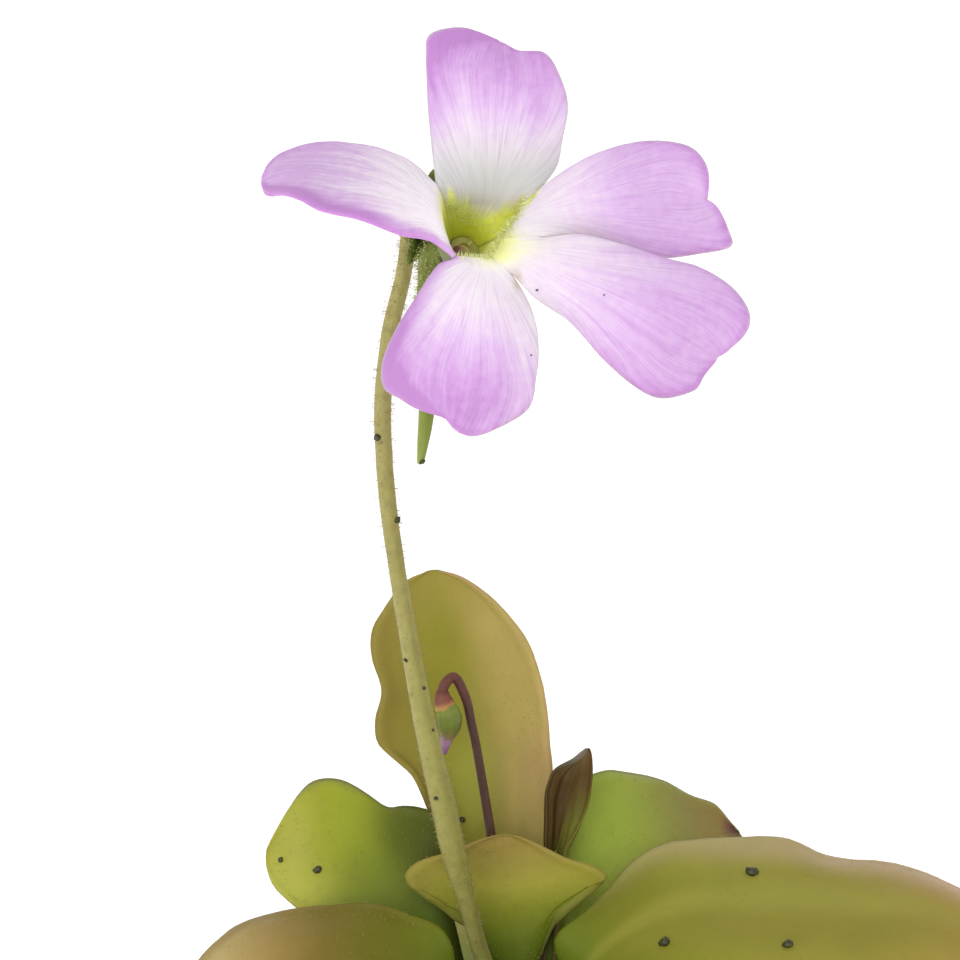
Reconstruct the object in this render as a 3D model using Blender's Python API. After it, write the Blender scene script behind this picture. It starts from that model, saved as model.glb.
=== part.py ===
"""Potted butterwort: a rosette of leaves on a short stem, one open flower and one bud, in a plain pot of soil.

Metres, +Z up. The origin is the centre of the pot's underside. The flower faces -Y and a little up.
"""

import math

import bpy
import bmesh
from mathutils import Matrix, Vector, noise

MM = 0.001

# The driving sizes, in millimetres.
POT_HEIGHT = 60.0
POT_RIM_RADIUS = 36.0
POT_BASE_RADIUS = 26.0
POT_WALL = 1.8
COLLAR_HEIGHT = 8.0
COLLAR_PROUD = 1.4
DRAIN_HOLE_RADIUS = 2.5
DRAIN_RING_RADIUS = 17.0
DRAIN_HOLES = 6
SEAT_GAP = 0.3
SOIL_BELOW_RIM = 2.0
MOUND_HEIGHT = 6.0
MOUND_RADIUS = 17.0
CROWN_TOP = 68.5
CROWN_RADIUS = 4.2
STOCK_RADIUS = 2.6
STOCK_DEPTH = 13.0
LEAF_THICKNESS = 0.9
OLD_LEAF_THICKNESS = 0.45
PETAL_THICKNESS = 0.6

# The drawn outlines are the blades' outer ones, so the thick sheets stop a little short of them.
EDGE_SHARE = 0.95
TIP_SHARE = 0.985

SOIL_RIM_HEIGHT = POT_HEIGHT - SOIL_BELOW_RIM
SOIL_CENTRE_HEIGHT = SOIL_RIM_HEIGHT + MOUND_HEIGHT

# The flower is laid out in its own face frame, from the throat's middle: a to the right, b up and c outwards.
FLOWER_CENTRE = Vector((-2.4, -12.0, 125.3))
FLOWER_PITCH = math.radians(14.0)
FACE_RIGHT = Vector((1, 0, 0))
FACE_UP = Vector((0, math.sin(FLOWER_PITCH), math.cos(FLOWER_PITCH)))
FACE_OUT = Vector((0, -math.cos(FLOWER_PITCH), math.sin(FLOWER_PITCH)))

COLOURS = {
    "pot": ((0.46, 0.19, 0.11, 1), 0.55),
    "soil": ((0.075, 0.045, 0.028, 1), 0.95),
    "crown": ((0.30, 0.30, 0.12, 1), 0.60),
    "leaf": ((0.28, 0.31, 0.05, 1), 0.35),
    "old_leaf": ((0.12, 0.055, 0.02, 1), 0.60),
    "scape": ((0.36, 0.33, 0.12, 1), 0.45),
    "bud_scape": ((0.10, 0.04, 0.035, 1), 0.45),
    "calyx": ((0.16, 0.22, 0.03, 1), 0.50),
    "petal": ((0.72, 0.45, 0.80, 1), 0.50),
    "stigma": ((0.18, 0.08, 0.05, 1), 0.50),
}


def material(name):
    """The Principled material of that name, made once."""
    found = bpy.data.materials.get(name)
    if found:
        return found
    colour, roughness = COLOURS[name]
    made = bpy.data.materials.new(name)
    made.use_nodes = True
    shader = made.node_tree.nodes["Principled BSDF"]
    shader.inputs["Base Color"].default_value = colour
    shader.inputs["Roughness"].default_value = roughness
    shader.inputs["Metallic"].default_value = 0.0
    return made


def add_object(name, mesh, finish, smooth_angle=50):
    """Links a mesh as one named object with its material, smooth except at sharp edges."""
    obj = bpy.data.objects.new(name, mesh)
    bpy.context.scene.collection.objects.link(obj)
    mesh.materials.append(material(finish))
    mesh.shade_smooth()
    mesh.set_sharp_from_angle(angle=math.radians(smooth_angle))
    return obj


def mesh_of(points, faces, merge=0.0):
    """A mesh from points in millimetres, triangulated, with its faces turned outwards."""
    made = bmesh.new()
    verts = [made.verts.new(Vector(p) * MM) for p in points]
    for face in faces:
        made.faces.new([verts[i] for i in face])
    if merge:
        bmesh.ops.remove_doubles(made, verts=made.verts, dist=merge * MM)
    bmesh.ops.recalc_face_normals(made, faces=made.faces)
    bmesh.ops.triangulate(made, faces=made.faces)
    mesh = bpy.data.meshes.new("shape")
    made.to_mesh(mesh)
    made.free()
    return mesh


class Line:
    """A smooth curve through a few points, read by its share of length from 0 to 1."""

    STEPS = 12

    def __init__(self, points, before=None, after=None):
        knots = [Vector(p) for p in points]
        first = Vector(before) if before is not None else 2 * knots[0] - knots[1]
        last = Vector(after) if after is not None else 2 * knots[-1] - knots[-2]
        ends = [first] + knots + [last]
        self.points = []
        for i in range(len(knots) - 1):
            before, start, end, after = ends[i : i + 4]
            for step in range(self.STEPS):
                self.points.append(self.between(before, start, end, after, step / self.STEPS))
        self.points.append(knots[-1])
        self.lengths = [0.0]
        for start, end in zip(self.points, self.points[1:]):
            self.lengths.append(self.lengths[-1] + (end - start).length)

    @staticmethod
    def between(before, start, end, after, u):
        """Catmull-Rom from start to end."""
        pull = (end - before) * 0.5
        push = (after - start) * 0.5
        a = 2 * start - 2 * end + pull + push
        b = -3 * start + 3 * end - 2 * pull - push
        return ((a * u + b) * u + pull) * u + start

    def at(self, share):
        wanted = share * self.lengths[-1]
        for i in range(1, len(self.lengths)):
            if self.lengths[i] >= wanted:
                span = self.lengths[i] - self.lengths[i - 1]
                u = (wanted - self.lengths[i - 1]) / span if span else 0.0
                return self.points[i - 1].lerp(self.points[i], min(max(u, 0.0), 1.0))
        return self.points[-1].copy()


def smoothstep(low, high, x):
    u = min(max((x - low) / (high - low), 0.0), 1.0)
    return u * u * (3 - 2 * u)


# Turned and swept shapes


def turned(profile, segments):
    """Points and faces of a solid turned about Z. The profile runs from one point on the axis to another."""
    points = []
    faces = []
    rings = []
    for radius, height in profile:
        if radius == 0:
            rings.append([len(points)])
            points.append(Vector((0, 0, height)))
            continue
        rings.append(list(range(len(points), len(points) + segments)))
        for k in range(segments):
            angle = 2 * math.pi * k / segments
            points.append(Vector((radius * math.cos(angle), radius * math.sin(angle), height)))
    for low, high in zip(rings, rings[1:]):
        for k in range(segments):
            corners = [low[k % len(low)], low[(k + 1) % len(low)], high[(k + 1) % len(high)],
                       high[k % len(high)]]
            faces.append(list(dict.fromkeys(corners)))
    return points, faces


def swept(line, radii, rings, sides, squash=1.0):
    """Points and faces of a closed round stem along a Line. Its radius is read from a second smooth curve."""
    points = []
    faces = []
    width = Line([(r, i, 0) for i, r in enumerate(radii)])
    tangent = (line.at(1 / rings) - line.at(0)).normalized()
    side = tangent.orthogonal().normalized()
    for ring in range(rings + 1):
        share = ring / rings
        centre = line.at(share)
        ahead = line.at(min(share + 0.01, 1.0)) - line.at(max(share - 0.01, 0.0))
        turn = tangent.rotation_difference(ahead.normalized())
        side = (turn @ side).normalized()
        tangent = ahead.normalized()
        other = tangent.cross(side)
        radius = width.at(share).x
        for k in range(sides):
            angle = 2 * math.pi * k / sides
            points.append(centre + radius * (math.cos(angle) * side + squash * math.sin(angle) * other))
    for ring in range(rings):
        for k in range(sides):
            a = ring * sides + k
            b = ring * sides + (k + 1) % sides
            faces.append([a, b, b + sides, a + sides])
    faces.append(list(range(sides))[::-1])
    faces.append(list(range(rings * sides, (rings + 1) * sides)))
    return points, faces


# Thin sheets: leaves, petals and sepals


def sheet_points(rows, columns, surface):
    """Points and quads of a surface read at (v, t): v from 0 to 1 along it and t from -1 to 1 across it."""
    points = []
    faces = []
    for i in range(rows + 1):
        for j in range(columns + 1):
            points.append(surface(i / rows, 2 * j / columns - 1))
    for i in range(rows):
        for j in range(columns):
            a = i * (columns + 1) + j
            faces.append([a, a + 1, a + columns + 2, a + columns + 1])
    return points, faces


def add_sheet(name, points, faces, thickness, finish, side=0.0):
    """A thin solid round a sheet. Both faces take the sheet's own triangles, so that they never cross."""
    obj = add_object(name, mesh_of(points, faces, merge=0.01), finish)
    solidify = obj.modifiers.new("thickness", "SOLIDIFY")
    solidify.thickness = thickness * MM
    solidify.offset = side
    return obj


def joined(pieces, name, finish):
    """One object from several overlapping ones, by one Boolean union on a collection."""
    graph = bpy.context.evaluated_depsgraph_get()
    graph.update()
    others = bpy.data.collections.new(name + "_pieces")
    bpy.context.scene.collection.children.link(others)
    solids = [bpy.data.meshes.new_from_object(piece.evaluated_get(graph)) for piece in pieces]
    for piece in pieces:
        bpy.data.objects.remove(piece)
    body = bpy.data.objects.new(name, solids[0])
    bpy.context.scene.collection.objects.link(body)
    for i, solid in enumerate(solids[1:]):
        others.objects.link(bpy.data.objects.new(f"{name}_{i}", solid))
    union = body.modifiers.new("join", "BOOLEAN")
    union.operation = "UNION"
    union.operand_type = "COLLECTION"
    union.collection = others
    union.solver = "EXACT"
    union.use_self = True
    graph = bpy.context.evaluated_depsgraph_get()
    graph.update()
    whole = bpy.data.meshes.new_from_object(body.evaluated_get(graph))
    for extra in list(others.objects):
        bpy.data.objects.remove(extra)
    bpy.data.objects.remove(body)
    bpy.data.collections.remove(others)
    whole.materials.clear()
    return add_object(name, whole, finish)


# The pot and what fills it


def pot_inside_radius(height):
    """The pot's inner radius at a height above its underside."""
    wall_top = POT_RIM_RADIUS - COLLAR_PROUD
    share = height / POT_HEIGHT
    return POT_BASE_RADIUS + (wall_top - POT_BASE_RADIUS) * share - POT_WALL


def make_pot():
    """A plain tapered pot with a thick collar, a flat base and a ring of drain holes."""
    wall_top = POT_RIM_RADIUS - COLLAR_PROUD
    collar_low = POT_HEIGHT - COLLAR_HEIGHT
    outside_at_collar = pot_inside_radius(collar_low) + POT_WALL
    lip = 0.7
    base = 2.2
    profile = [
        (0, 0),
        (DRAIN_RING_RADIUS, 0),
        (POT_BASE_RADIUS - 1.0, 0),
        (POT_BASE_RADIUS, 1.0),
        (outside_at_collar, collar_low - 0.6),
        (outside_at_collar + COLLAR_PROUD, collar_low),
        (POT_RIM_RADIUS, POT_HEIGHT - lip),
        (POT_RIM_RADIUS - lip, POT_HEIGHT),
        (wall_top - POT_WALL + lip, POT_HEIGHT),
        (wall_top - POT_WALL, POT_HEIGHT - lip),
        (pot_inside_radius(base) - 0.5, base),
        (0, base),
    ]
    points, faces = turned(profile, 48)
    pot = add_object("pot", mesh_of(points, faces), "pot", 30)
    for k in range(DRAIN_HOLES):
        angle = 2 * math.pi * k / DRAIN_HOLES
        hole_points, hole_faces = turned([(0, -2), (DRAIN_HOLE_RADIUS, -2), (DRAIN_HOLE_RADIUS, 6), (0, 6)],
                                         20)
        cutter = bpy.data.objects.new(f"drain_cutter_{k}", mesh_of(hole_points, hole_faces))
        bpy.context.scene.collection.objects.link(cutter)
        cutter.location = Vector((math.cos(angle), math.sin(angle), 0)) * DRAIN_RING_RADIUS * MM
        cutter.hide_render = True
        cutter.display_type = "WIRE"
        cut = pot.modifiers.new(f"drain_{k}", "BOOLEAN")
        cut.operation = "DIFFERENCE"
        cut.object = cutter
    return pot


def soil_height(x, y):
    """The soil's top: a low mound round the plant, with small crumbs."""
    radius = math.hypot(x, y)
    mound = MOUND_HEIGHT * (1 - smoothstep(0, MOUND_RADIUS * 1.8, radius))
    crumbs = 0.7 * noise.noise(Vector((x, y, 0)) * 0.35) + 0.35 * noise.noise(Vector((x, y, 9)) * 0.9)
    calm = smoothstep(STOCK_RADIUS, STOCK_RADIUS + 3, radius) * (1 - 0.6 * smoothstep(28, 33, radius))
    return SOIL_RIM_HEIGHT - 0.4 + mound + crumbs * calm


def make_soil():
    """The soil fills the pot from its base to near the rim, with a plain hole that the rootstock stands in."""
    hole = STOCK_RADIUS + SEAT_GAP
    hole_floor = SOIL_CENTRE_HEIGHT - STOCK_DEPTH - 1.0
    base = 2.2 + SEAT_GAP
    outer_top = pot_inside_radius(SOIL_RIM_HEIGHT) - SEAT_GAP
    outer_base = pot_inside_radius(base) - 0.5 - SEAT_GAP
    top_radii = [hole + (outer_top - hole) * k / 11 for k in range(12)]
    profile = [(0, hole_floor), (hole, hole_floor)]
    profile += [(radius, SOIL_RIM_HEIGHT) for radius in top_radii]
    profile += [(outer_base, base), (0, base)]
    points, faces = turned(profile, 48)
    crust = [p for p in points if p.z == SOIL_RIM_HEIGHT]
    for point in crust:
        point.z = soil_height(point.x, point.y)
    add_object("soil", mesh_of(points, faces), "soil", 80)


def make_crown():
    """The short stem that carries leaves and flower stalks, with its rootstock down in the soil."""
    surface = SOIL_CENTRE_HEIGHT - 0.2 + 0.5
    profile = [
        (0, SOIL_CENTRE_HEIGHT - STOCK_DEPTH),
        (1.0, SOIL_CENTRE_HEIGHT - STOCK_DEPTH + 0.4),
        (STOCK_RADIUS - 0.4, SOIL_CENTRE_HEIGHT - STOCK_DEPTH * 0.55),
        (STOCK_RADIUS, surface),
        (CROWN_RADIUS, surface + 0.5),
        (CROWN_RADIUS, surface + 1.4),
        (3.5, CROWN_TOP - 1.2),
        (2.6, CROWN_TOP),
        (0, CROWN_TOP),
    ]
    points, faces = turned(profile, 28)
    add_object("crown", mesh_of(points, faces), "crown", 60)


# Leaves

# The upper leaves are drawn by three lines from base to tip: the first edge, the midrib and the second edge.
DRAWN_LEAVES = {
    "leaf_back_upright": dict(
        first=[(-1.9, 2.7, 69.0), (-2.4, 4.6, 72.2), (-4.1, 7.1, 76.4), (-5.5, 8.6, 78.4),
               (-6.5, 9.6, 80.0), (-7.5, 10.0, 81.9), (-8.45, 10.2, 82.8), (-9.45, 10.5, 83.6),
               (-10.0, 10.7, 84.6), (-10.05, 10.8, 86.2), (-9.65, 11.0, 88.2), (-10.3, 11.2, 90.5),
               (-10.3, 11.6, 92.5), (-9.5, 12.0, 94.0), (-7.8, 12.7, 96.1), (-5.8, 13.2, 96.85)],
        middle=[(-0.5, 3.0, 69.0), (-1.1, 5.8, 72.0), (-1.9, 9.0, 75.8), (-2.4, 11.2, 79.8),
                (-3.0, 12.6, 84.6), (-3.6, 13.4, 89.8), (-4.5, 13.6, 93.5), (-5.8, 13.2, 96.85)],
        second=[(0.9, 3.2, 69.0), (1.6, 5.1, 72.4), (2.7, 6.9, 76.5), (3.1, 8.3, 79.3), (3.2, 9.0, 81.6),
                (3.2, 9.4, 83.1), (3.05, 9.8, 84.8), (2.9, 10.0, 86.7), (2.45, 10.4, 89.2),
                (1.5, 11.2, 91.9), (0.0, 12.0, 93.8), (-1.8, 12.7, 95.4), (-3.7, 13.1, 96.5),
                (-5.8, 13.2, 96.85)]),
    "leaf_left_back": dict(
        first=[(-2.9, 2.9, 67.6), (-3.6, 3.6, 71.0), (-4.6, 4.8, 75.3), (-4.7, 5.9, 78.2),
               (-5.3, 6.6, 80.2), (-6.5, 7.4, 80.5), (-7.7, 8.2, 80.3), (-8.9, 9.2, 79.8),
               (-10.4, 10.8, 80.1), (-12.3, 12.0, 80.7), (-13.8, 12.5, 80.7), (-15.0, 12.5, 80.25),
               (-16.15, 12.0, 78.9), (-17.15, 11.0, 77.25), (-17.85, 10.0, 76.1)],
        middle=[(-3.5, 1.8, 67.6), (-5.2, 3.2, 71.2), (-7.6, 4.8, 74.0), (-10.5, 6.4, 75.4),
                (-13.6, 7.9, 76.0), (-16.2, 9.0, 76.2), (-17.85, 10.0, 76.1)],
        second=[(-4.0, 0.8, 67.6), (-5.4, 1.6, 69.8), (-7.6, 2.5, 70.9), (-10.6, 3.2, 71.4),
                (-13.1, 4.2, 72.3), (-15.4, 5.6, 73.2), (-17.1, 7.5, 74.0), (-17.75, 9.0, 74.9),
                (-17.85, 10.0, 76.1)]),
    "leaf_left_front": dict(
        first=[(-4.5, -0.2, 66.8), (-4.3, -1.3, 70.6), (-4.2, -1.9, 73.6), (-5.0, -1.3, 75.0),
               (-7.0, 0.4, 74.95), (-10.0, 2.1, 74.95), (-12.9, 2.6, 74.6), (-15.1, 2.6, 74.4),
               (-17.7, 2.0, 74.05), (-19.6, 1.0, 73.7), (-21.4, -0.8, 72.6), (-23.2, -3.0, 70.6),
               (-24.3, -5.0, 69.2), (-24.5, -7.2, 68.4)],
        middle=[(-4.2, -1.4, 66.8), (-5.0, -3.0, 70.2), (-7.6, -4.2, 73.2), (-11.8, -4.9, 75.0),
                (-15.6, -5.9, 74.6), (-20.0, -6.7, 72.2), (-24.5, -7.2, 68.4)],
        second=[(-3.9, -2.5, 66.8), (-5.2, -4.4, 69.4), (-7.4, -7.0, 71.0), (-10.4, -9.6, 71.6),
                (-13.8, -11.6, 71.4), (-17.4, -12.4, 70.2), (-21.0, -11.6, 68.6), (-23.6, -9.4, 67.9),
                (-24.5, -7.2, 68.4)]),
    "leaf_inner_young": dict(
        first=[(-0.8, 0.5, 69.0), (-1.2, 0.9, 71.2), (-3.5, 1.5, 74.2), (-5.1, 1.9, 75.1),
               (-6.1, 2.1, 75.7), (-7.2, 2.3, 76.3), (-7.6, 2.5, 76.9), (-7.6, 2.7, 77.4),
               (-7.1, 3.0, 77.9), (-6.2, 3.3, 78.3), (-5.1, 3.5, 78.6), (-3.0, 3.9, 79.3),
               (-1.9, 4.1, 79.6), (-0.6, 4.2, 79.8)],
        middle=[(0.2, 0.8, 69.0), (0.3, 1.5, 71.2), (0.2, 2.4, 73.4), (-0.3, 3.3, 75.7), (-0.6, 4.0, 77.8),
                (-0.6, 4.2, 79.8)],
        second=[(1.2, 0.6, 69.0), (1.7, 0.9, 71.2), (2.9, 1.4, 74.0), (3.5, 1.7, 75.0), (4.6, 1.9, 75.7),
                (5.8, 2.1, 76.3), (6.6, 2.3, 76.7), (6.9, 2.5, 77.2), (6.5, 2.8, 77.6), (5.7, 3.1, 77.9),
                (3.9, 3.5, 78.3), (2.7, 3.8, 78.8), (1.6, 4.0, 79.3), (0.5, 4.1, 79.7), (-0.6, 4.2, 79.8)]),
    "leaf_withered": dict(
        first=[(1.8, 1.9, 68.8), (2.4, 3.0, 72.0), (2.7, 4.0, 75.5), (2.2, 5.2, 78.1), (2.2, 5.8, 80.2),
               (2.2, 6.3, 81.9), (2.5, 6.6, 83.0), (2.9, 6.9, 83.7), (3.6, 7.1, 84.0), (4.5, 7.3, 84.2),
               (5.1, 7.4, 84.6), (5.6, 7.5, 85.1)],
        middle=[(2.4, 2.2, 68.8), (2.9, 3.4, 72.0), (3.2, 4.6, 75.4), (3.3, 5.9, 77.8), (3.6, 6.7, 80.2),
                (4.0, 7.2, 82.3), (4.6, 7.4, 83.6), (5.6, 7.5, 85.1)],
        second=[(2.9, 1.6, 68.8), (3.3, 2.7, 72.0), (3.7, 3.7, 75.7), (4.0, 4.8, 77.9), (4.6, 5.2, 78.8),
                (5.3, 5.7, 80.1), (5.7, 6.2, 81.4), (5.9, 6.7, 82.9), (5.9, 7.1, 83.9), (5.8, 7.4, 84.7),
                (5.6, 7.5, 85.1)]),
    "leaf_right_back": dict(
        first=[(2.2, 3.6, 67.6), (2.9, 5.6, 72.2), (3.7, 7.8, 76.2), (4.2, 9.8, 79.1), (5.1, 11.2, 80.9),
               (6.6, 12.0, 81.5), (8.1, 13.0, 81.1), (11.3, 15.0, 79.6), (13.7, 16.0, 78.0),
               (15.4, 16.0, 77.3), (16.3, 15.0, 76.5), (17.1, 13.5, 76.0)],
        middle=[(3.1, 2.8, 67.6), (4.2, 4.8, 72.2), (6.6, 7.6, 75.6), (11.0, 10.3, 76.2),
                (14.1, 12.0, 75.9), (17.1, 13.5, 76.0)],
        second=[(3.9, 1.9, 67.6), (5.0, 3.4, 70.4), (7.1, 5.2, 72.6), (10.9, 7.2, 73.6), (14.7, 9.6, 74.4),
                (17.3, 12.0, 75.2), (17.1, 13.5, 76.0)]),
    "leaf_right_large": dict(
        first=[(4.6, 0.9, 66.8), (3.8, 0.1, 70.6), (2.9, -0.7, 73.4), (3.4, -0.5, 74.5), (5.6, 2.3, 74.7),
               (8.4, 4.7, 76.9), (10.7, 5.8, 77.9), (13.7, 7.0, 77.95), (16.6, 7.6, 77.9),
               (19.6, 8.0, 77.65), (21.1, 8.0, 77.05), (22.5, 7.7, 76.35), (24.7, 7.4, 75.95),
               (26.8, 7.2, 75.95), (29.6, 6.4, 75.6), (32.1, 5.0, 74.9), (34.6, 3.2, 73.8),
               (36.6, 0.8, 72.8), (37.6, -2.4, 72.0)],
        middle=[(4.6, -0.5, 66.8), (4.8, -1.7, 70.4), (6.6, -2.0, 73.4), (11.4, -1.0, 76.0),
                (17.2, -1.4, 76.5), (24.0, -1.8, 76.6), (30.7, -2.1, 75.8), (34.6, -2.3, 74.4),
                (37.6, -2.4, 72.0)],
        second=[(4.4, -1.9, 66.8), (5.2, -3.8, 69.8), (7.3, -6.4, 71.6), (11.0, -8.6, 72.6),
                (15.4, -11.0, 73.0), (20.4, -12.4, 73.0), (25.4, -12.6, 72.4), (30.0, -11.6, 71.6),
                (34.0, -9.2, 71.2), (36.6, -6.0, 71.4), (37.6, -2.4, 72.0)]),
}

# The other leaves are laid from an azimuth (degrees, 0 to the right, 90 to the back) and a height on the
# crown. rise is the slope of the midrib in degrees from base to tip, cup and roll curl the halves and margins
# up, twist rolls the blade, and wave is the ripple of its margins in mm.
LAID_LEAVES = {
    "leaf_front_right": dict(azimuth=301, radius=4.5, height=66.8, length=27, width=15, rise=(26, 6, -18),
                             twist=14, cup=10, roll=7, wave=0.5, waves=1.6, phase=0.4),
    "leaf_front_left": dict(azimuth=249, radius=4.5, height=66.9, length=25, width=14, rise=(34, 8, -20),
                            twist=-8, cup=16, roll=9, wave=0.5, waves=1.4, phase=2.1),
    "leaf_low_right": dict(azimuth=332, radius=4.6, height=65.4, length=26, width=16, rise=(2, -8, -16),
                           twist=0, cup=8, roll=6, wave=0.4, waves=1.5, phase=1.2),
    "leaf_low_front": dict(azimuth=277, radius=4.6, height=65.4, length=27, width=17, rise=(4, -8, -14),
                           twist=4, cup=8, roll=6, wave=0.5, waves=1.5, phase=0.2),
    "leaf_low_left_front": dict(azimuth=222, radius=4.6, height=65.4, length=26, width=16,
                                rise=(2, -9, -12),
                                twist=-4, cup=8, roll=6, wave=0.4, waves=1.7, phase=2.6),
    "leaf_low_left": dict(azimuth=167, radius=4.6, height=65.4, length=25, width=17, rise=(4, -7, -14),
                          twist=0, cup=8, roll=6, wave=0.5, waves=1.5, phase=0.9),
    "leaf_low_back": dict(azimuth=112, radius=4.6, height=65.4, length=26, width=17, rise=(3, -9, -14),
                          twist=0, cup=8, roll=6, wave=0.5, waves=1.5, phase=1.7),
    "leaf_low_right_back": dict(azimuth=55, radius=4.6, height=65.4, length=27, width=17, rise=(3, -8, -15),
                                twist=0, cup=8, roll=6, wave=0.4, waves=1.5, phase=3.1),
}

LEAF_ROWS = 15
LEAF_COLUMNS = 6
LAID_LEAF_ROWS = 12


def drawn_surface(leaf):
    """A sheet through a leaf's three lines, as a function of (v, t)."""
    lines = [Line(leaf[key]) for key in ("first", "middle", "second")]

    def surface(v, t):
        first, middle, second = (line.at(v * TIP_SHARE) for line in lines)
        t = t * EDGE_SHARE
        return middle + t * (second - first) / 2 + t * t * ((first + second) / 2 - middle)

    return surface


def half_width(share):
    """The half width along an obovate blade, as a share of its largest."""
    widest = 0.6
    if share < widest:
        return 0.2 + 0.8 * smoothstep(-0.1, 1, share / widest) ** 0.9
    reach = (share - widest) / (1 - widest)
    return math.sqrt(max(0.0, 1 - reach**2.2))


def laid_surface(leaf):
    """A leaf's sheet from its slopes and curls, as a function of (v, t)."""
    steps = 60
    heading = math.radians(leaf["azimuth"])
    slopes = Line([(a, i * 40, 0) for i, a in enumerate(leaf["rise"])])
    position = Vector((leaf["radius"] * math.cos(heading), leaf["radius"] * math.sin(heading),
                       leaf["height"]))
    midrib = [position.copy()]
    for k in range(steps):
        slope = math.radians(slopes.at(k / steps).x)
        along = Vector((math.cos(slope) * math.cos(heading), math.cos(slope) * math.sin(heading),
                        math.sin(slope)))
        position = position + along * leaf["length"] / steps
        midrib.append(position.copy())

    def surface(v, t):
        share = v + 0.10 * math.sin(math.pi * v) * v
        exact = min(share * steps, steps - 1e-6)
        k = int(exact)
        centre = midrib[k].lerp(midrib[k + 1], exact - k)
        along = (midrib[k + 1] - midrib[k]).normalized()
        side = Vector((-math.sin(heading), math.cos(heading), 0))
        side = Matrix.Rotation(math.radians(leaf["twist"] * share), 3, along) @ side
        up = along.cross(side)
        half = half_width(share) * leaf["width"] / 2
        calm = 1 - 0.9 * smoothstep(0.72, 0.96, share)
        across = 0.0
        lift = 0.0
        slices = 8
        for i in range(slices):
            place = abs(t) * (i + 0.5) / slices
            bend = math.radians(leaf["cup"] * place + leaf["roll"] * 3 * place**3) * calm
            across += math.cos(bend) * abs(t) / slices
            lift += math.sin(bend) * abs(t) / slices
        turn = 2 * math.pi * leaf["waves"] * share + leaf["phase"] + 1.7 * (t > 0)
        ripple = leaf["wave"] * abs(t) ** 3 * math.sin(turn) * smoothstep(0.1, 0.4, share) * calm
        return centre + side * across * half * math.copysign(1, t) + up * (lift * half + ripple)

    return surface


def make_leaves():
    for name, leaf in DRAWN_LEAVES.items():
        points, faces = sheet_points(LEAF_ROWS, LEAF_COLUMNS, drawn_surface(leaf))
        old = name == "leaf_withered"
        add_sheet(name, points, faces, OLD_LEAF_THICKNESS if old else LEAF_THICKNESS,
                  "old_leaf" if old else "leaf")
    for name, leaf in LAID_LEAVES.items():
        points, faces = sheet_points(LAID_LEAF_ROWS, LEAF_COLUMNS, laid_surface(leaf))
        add_sheet(name, points, faces, LEAF_THICKNESS, "leaf")


# The flower


def face(a, b, c):
    """A point of the flower's face frame, in the part's frame, in millimetres."""
    return FLOWER_CENTRE + a * FACE_RIGHT + b * FACE_UP + c * FACE_OUT


THROAT_FLOOR = Vector((-1.0, -0.8, -5.6))
THROAT_FLOOR_RADIUS = 1.0


def floor_point(degrees):
    """A point on the small ring where the throat narrows into the spur."""
    angle = math.radians(degrees)
    return THROAT_FLOOR + THROAT_FLOOR_RADIUS * Vector((math.cos(angle), math.sin(angle), 0))


# Five creases run from the throat's floor to the notch between two lobes. Each lobe runs between two of them.
CREASES = {
    "left_top": [floor_point(130), (-2.0, 1.7, -3.6), (-2.2, 2.4, -2.2), (-2.5, 3.1, -1.6)],
    "top_right": [floor_point(22), (1.2, -0.1, -3.9), (2.4, 0.8, -2.5), (3.3, 2.2, -1.5)],
    "right_low": [floor_point(-10), (1.4, -0.4, -2.0), (1.9, -0.6, 0.5), (4.1, -0.4, 0.6)],
    "low_bottom": [floor_point(-60), (0.6, -1.5, -2.0), (1.0, -1.9, 1.15), (2.1, -2.7, 1.1)],
    "bottom_left": [floor_point(-145), (-2.0, -1.5, -2.4), (-1.6, -1.6, 0.2), (-1.4, -1.7, 0.9)],
}

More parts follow.
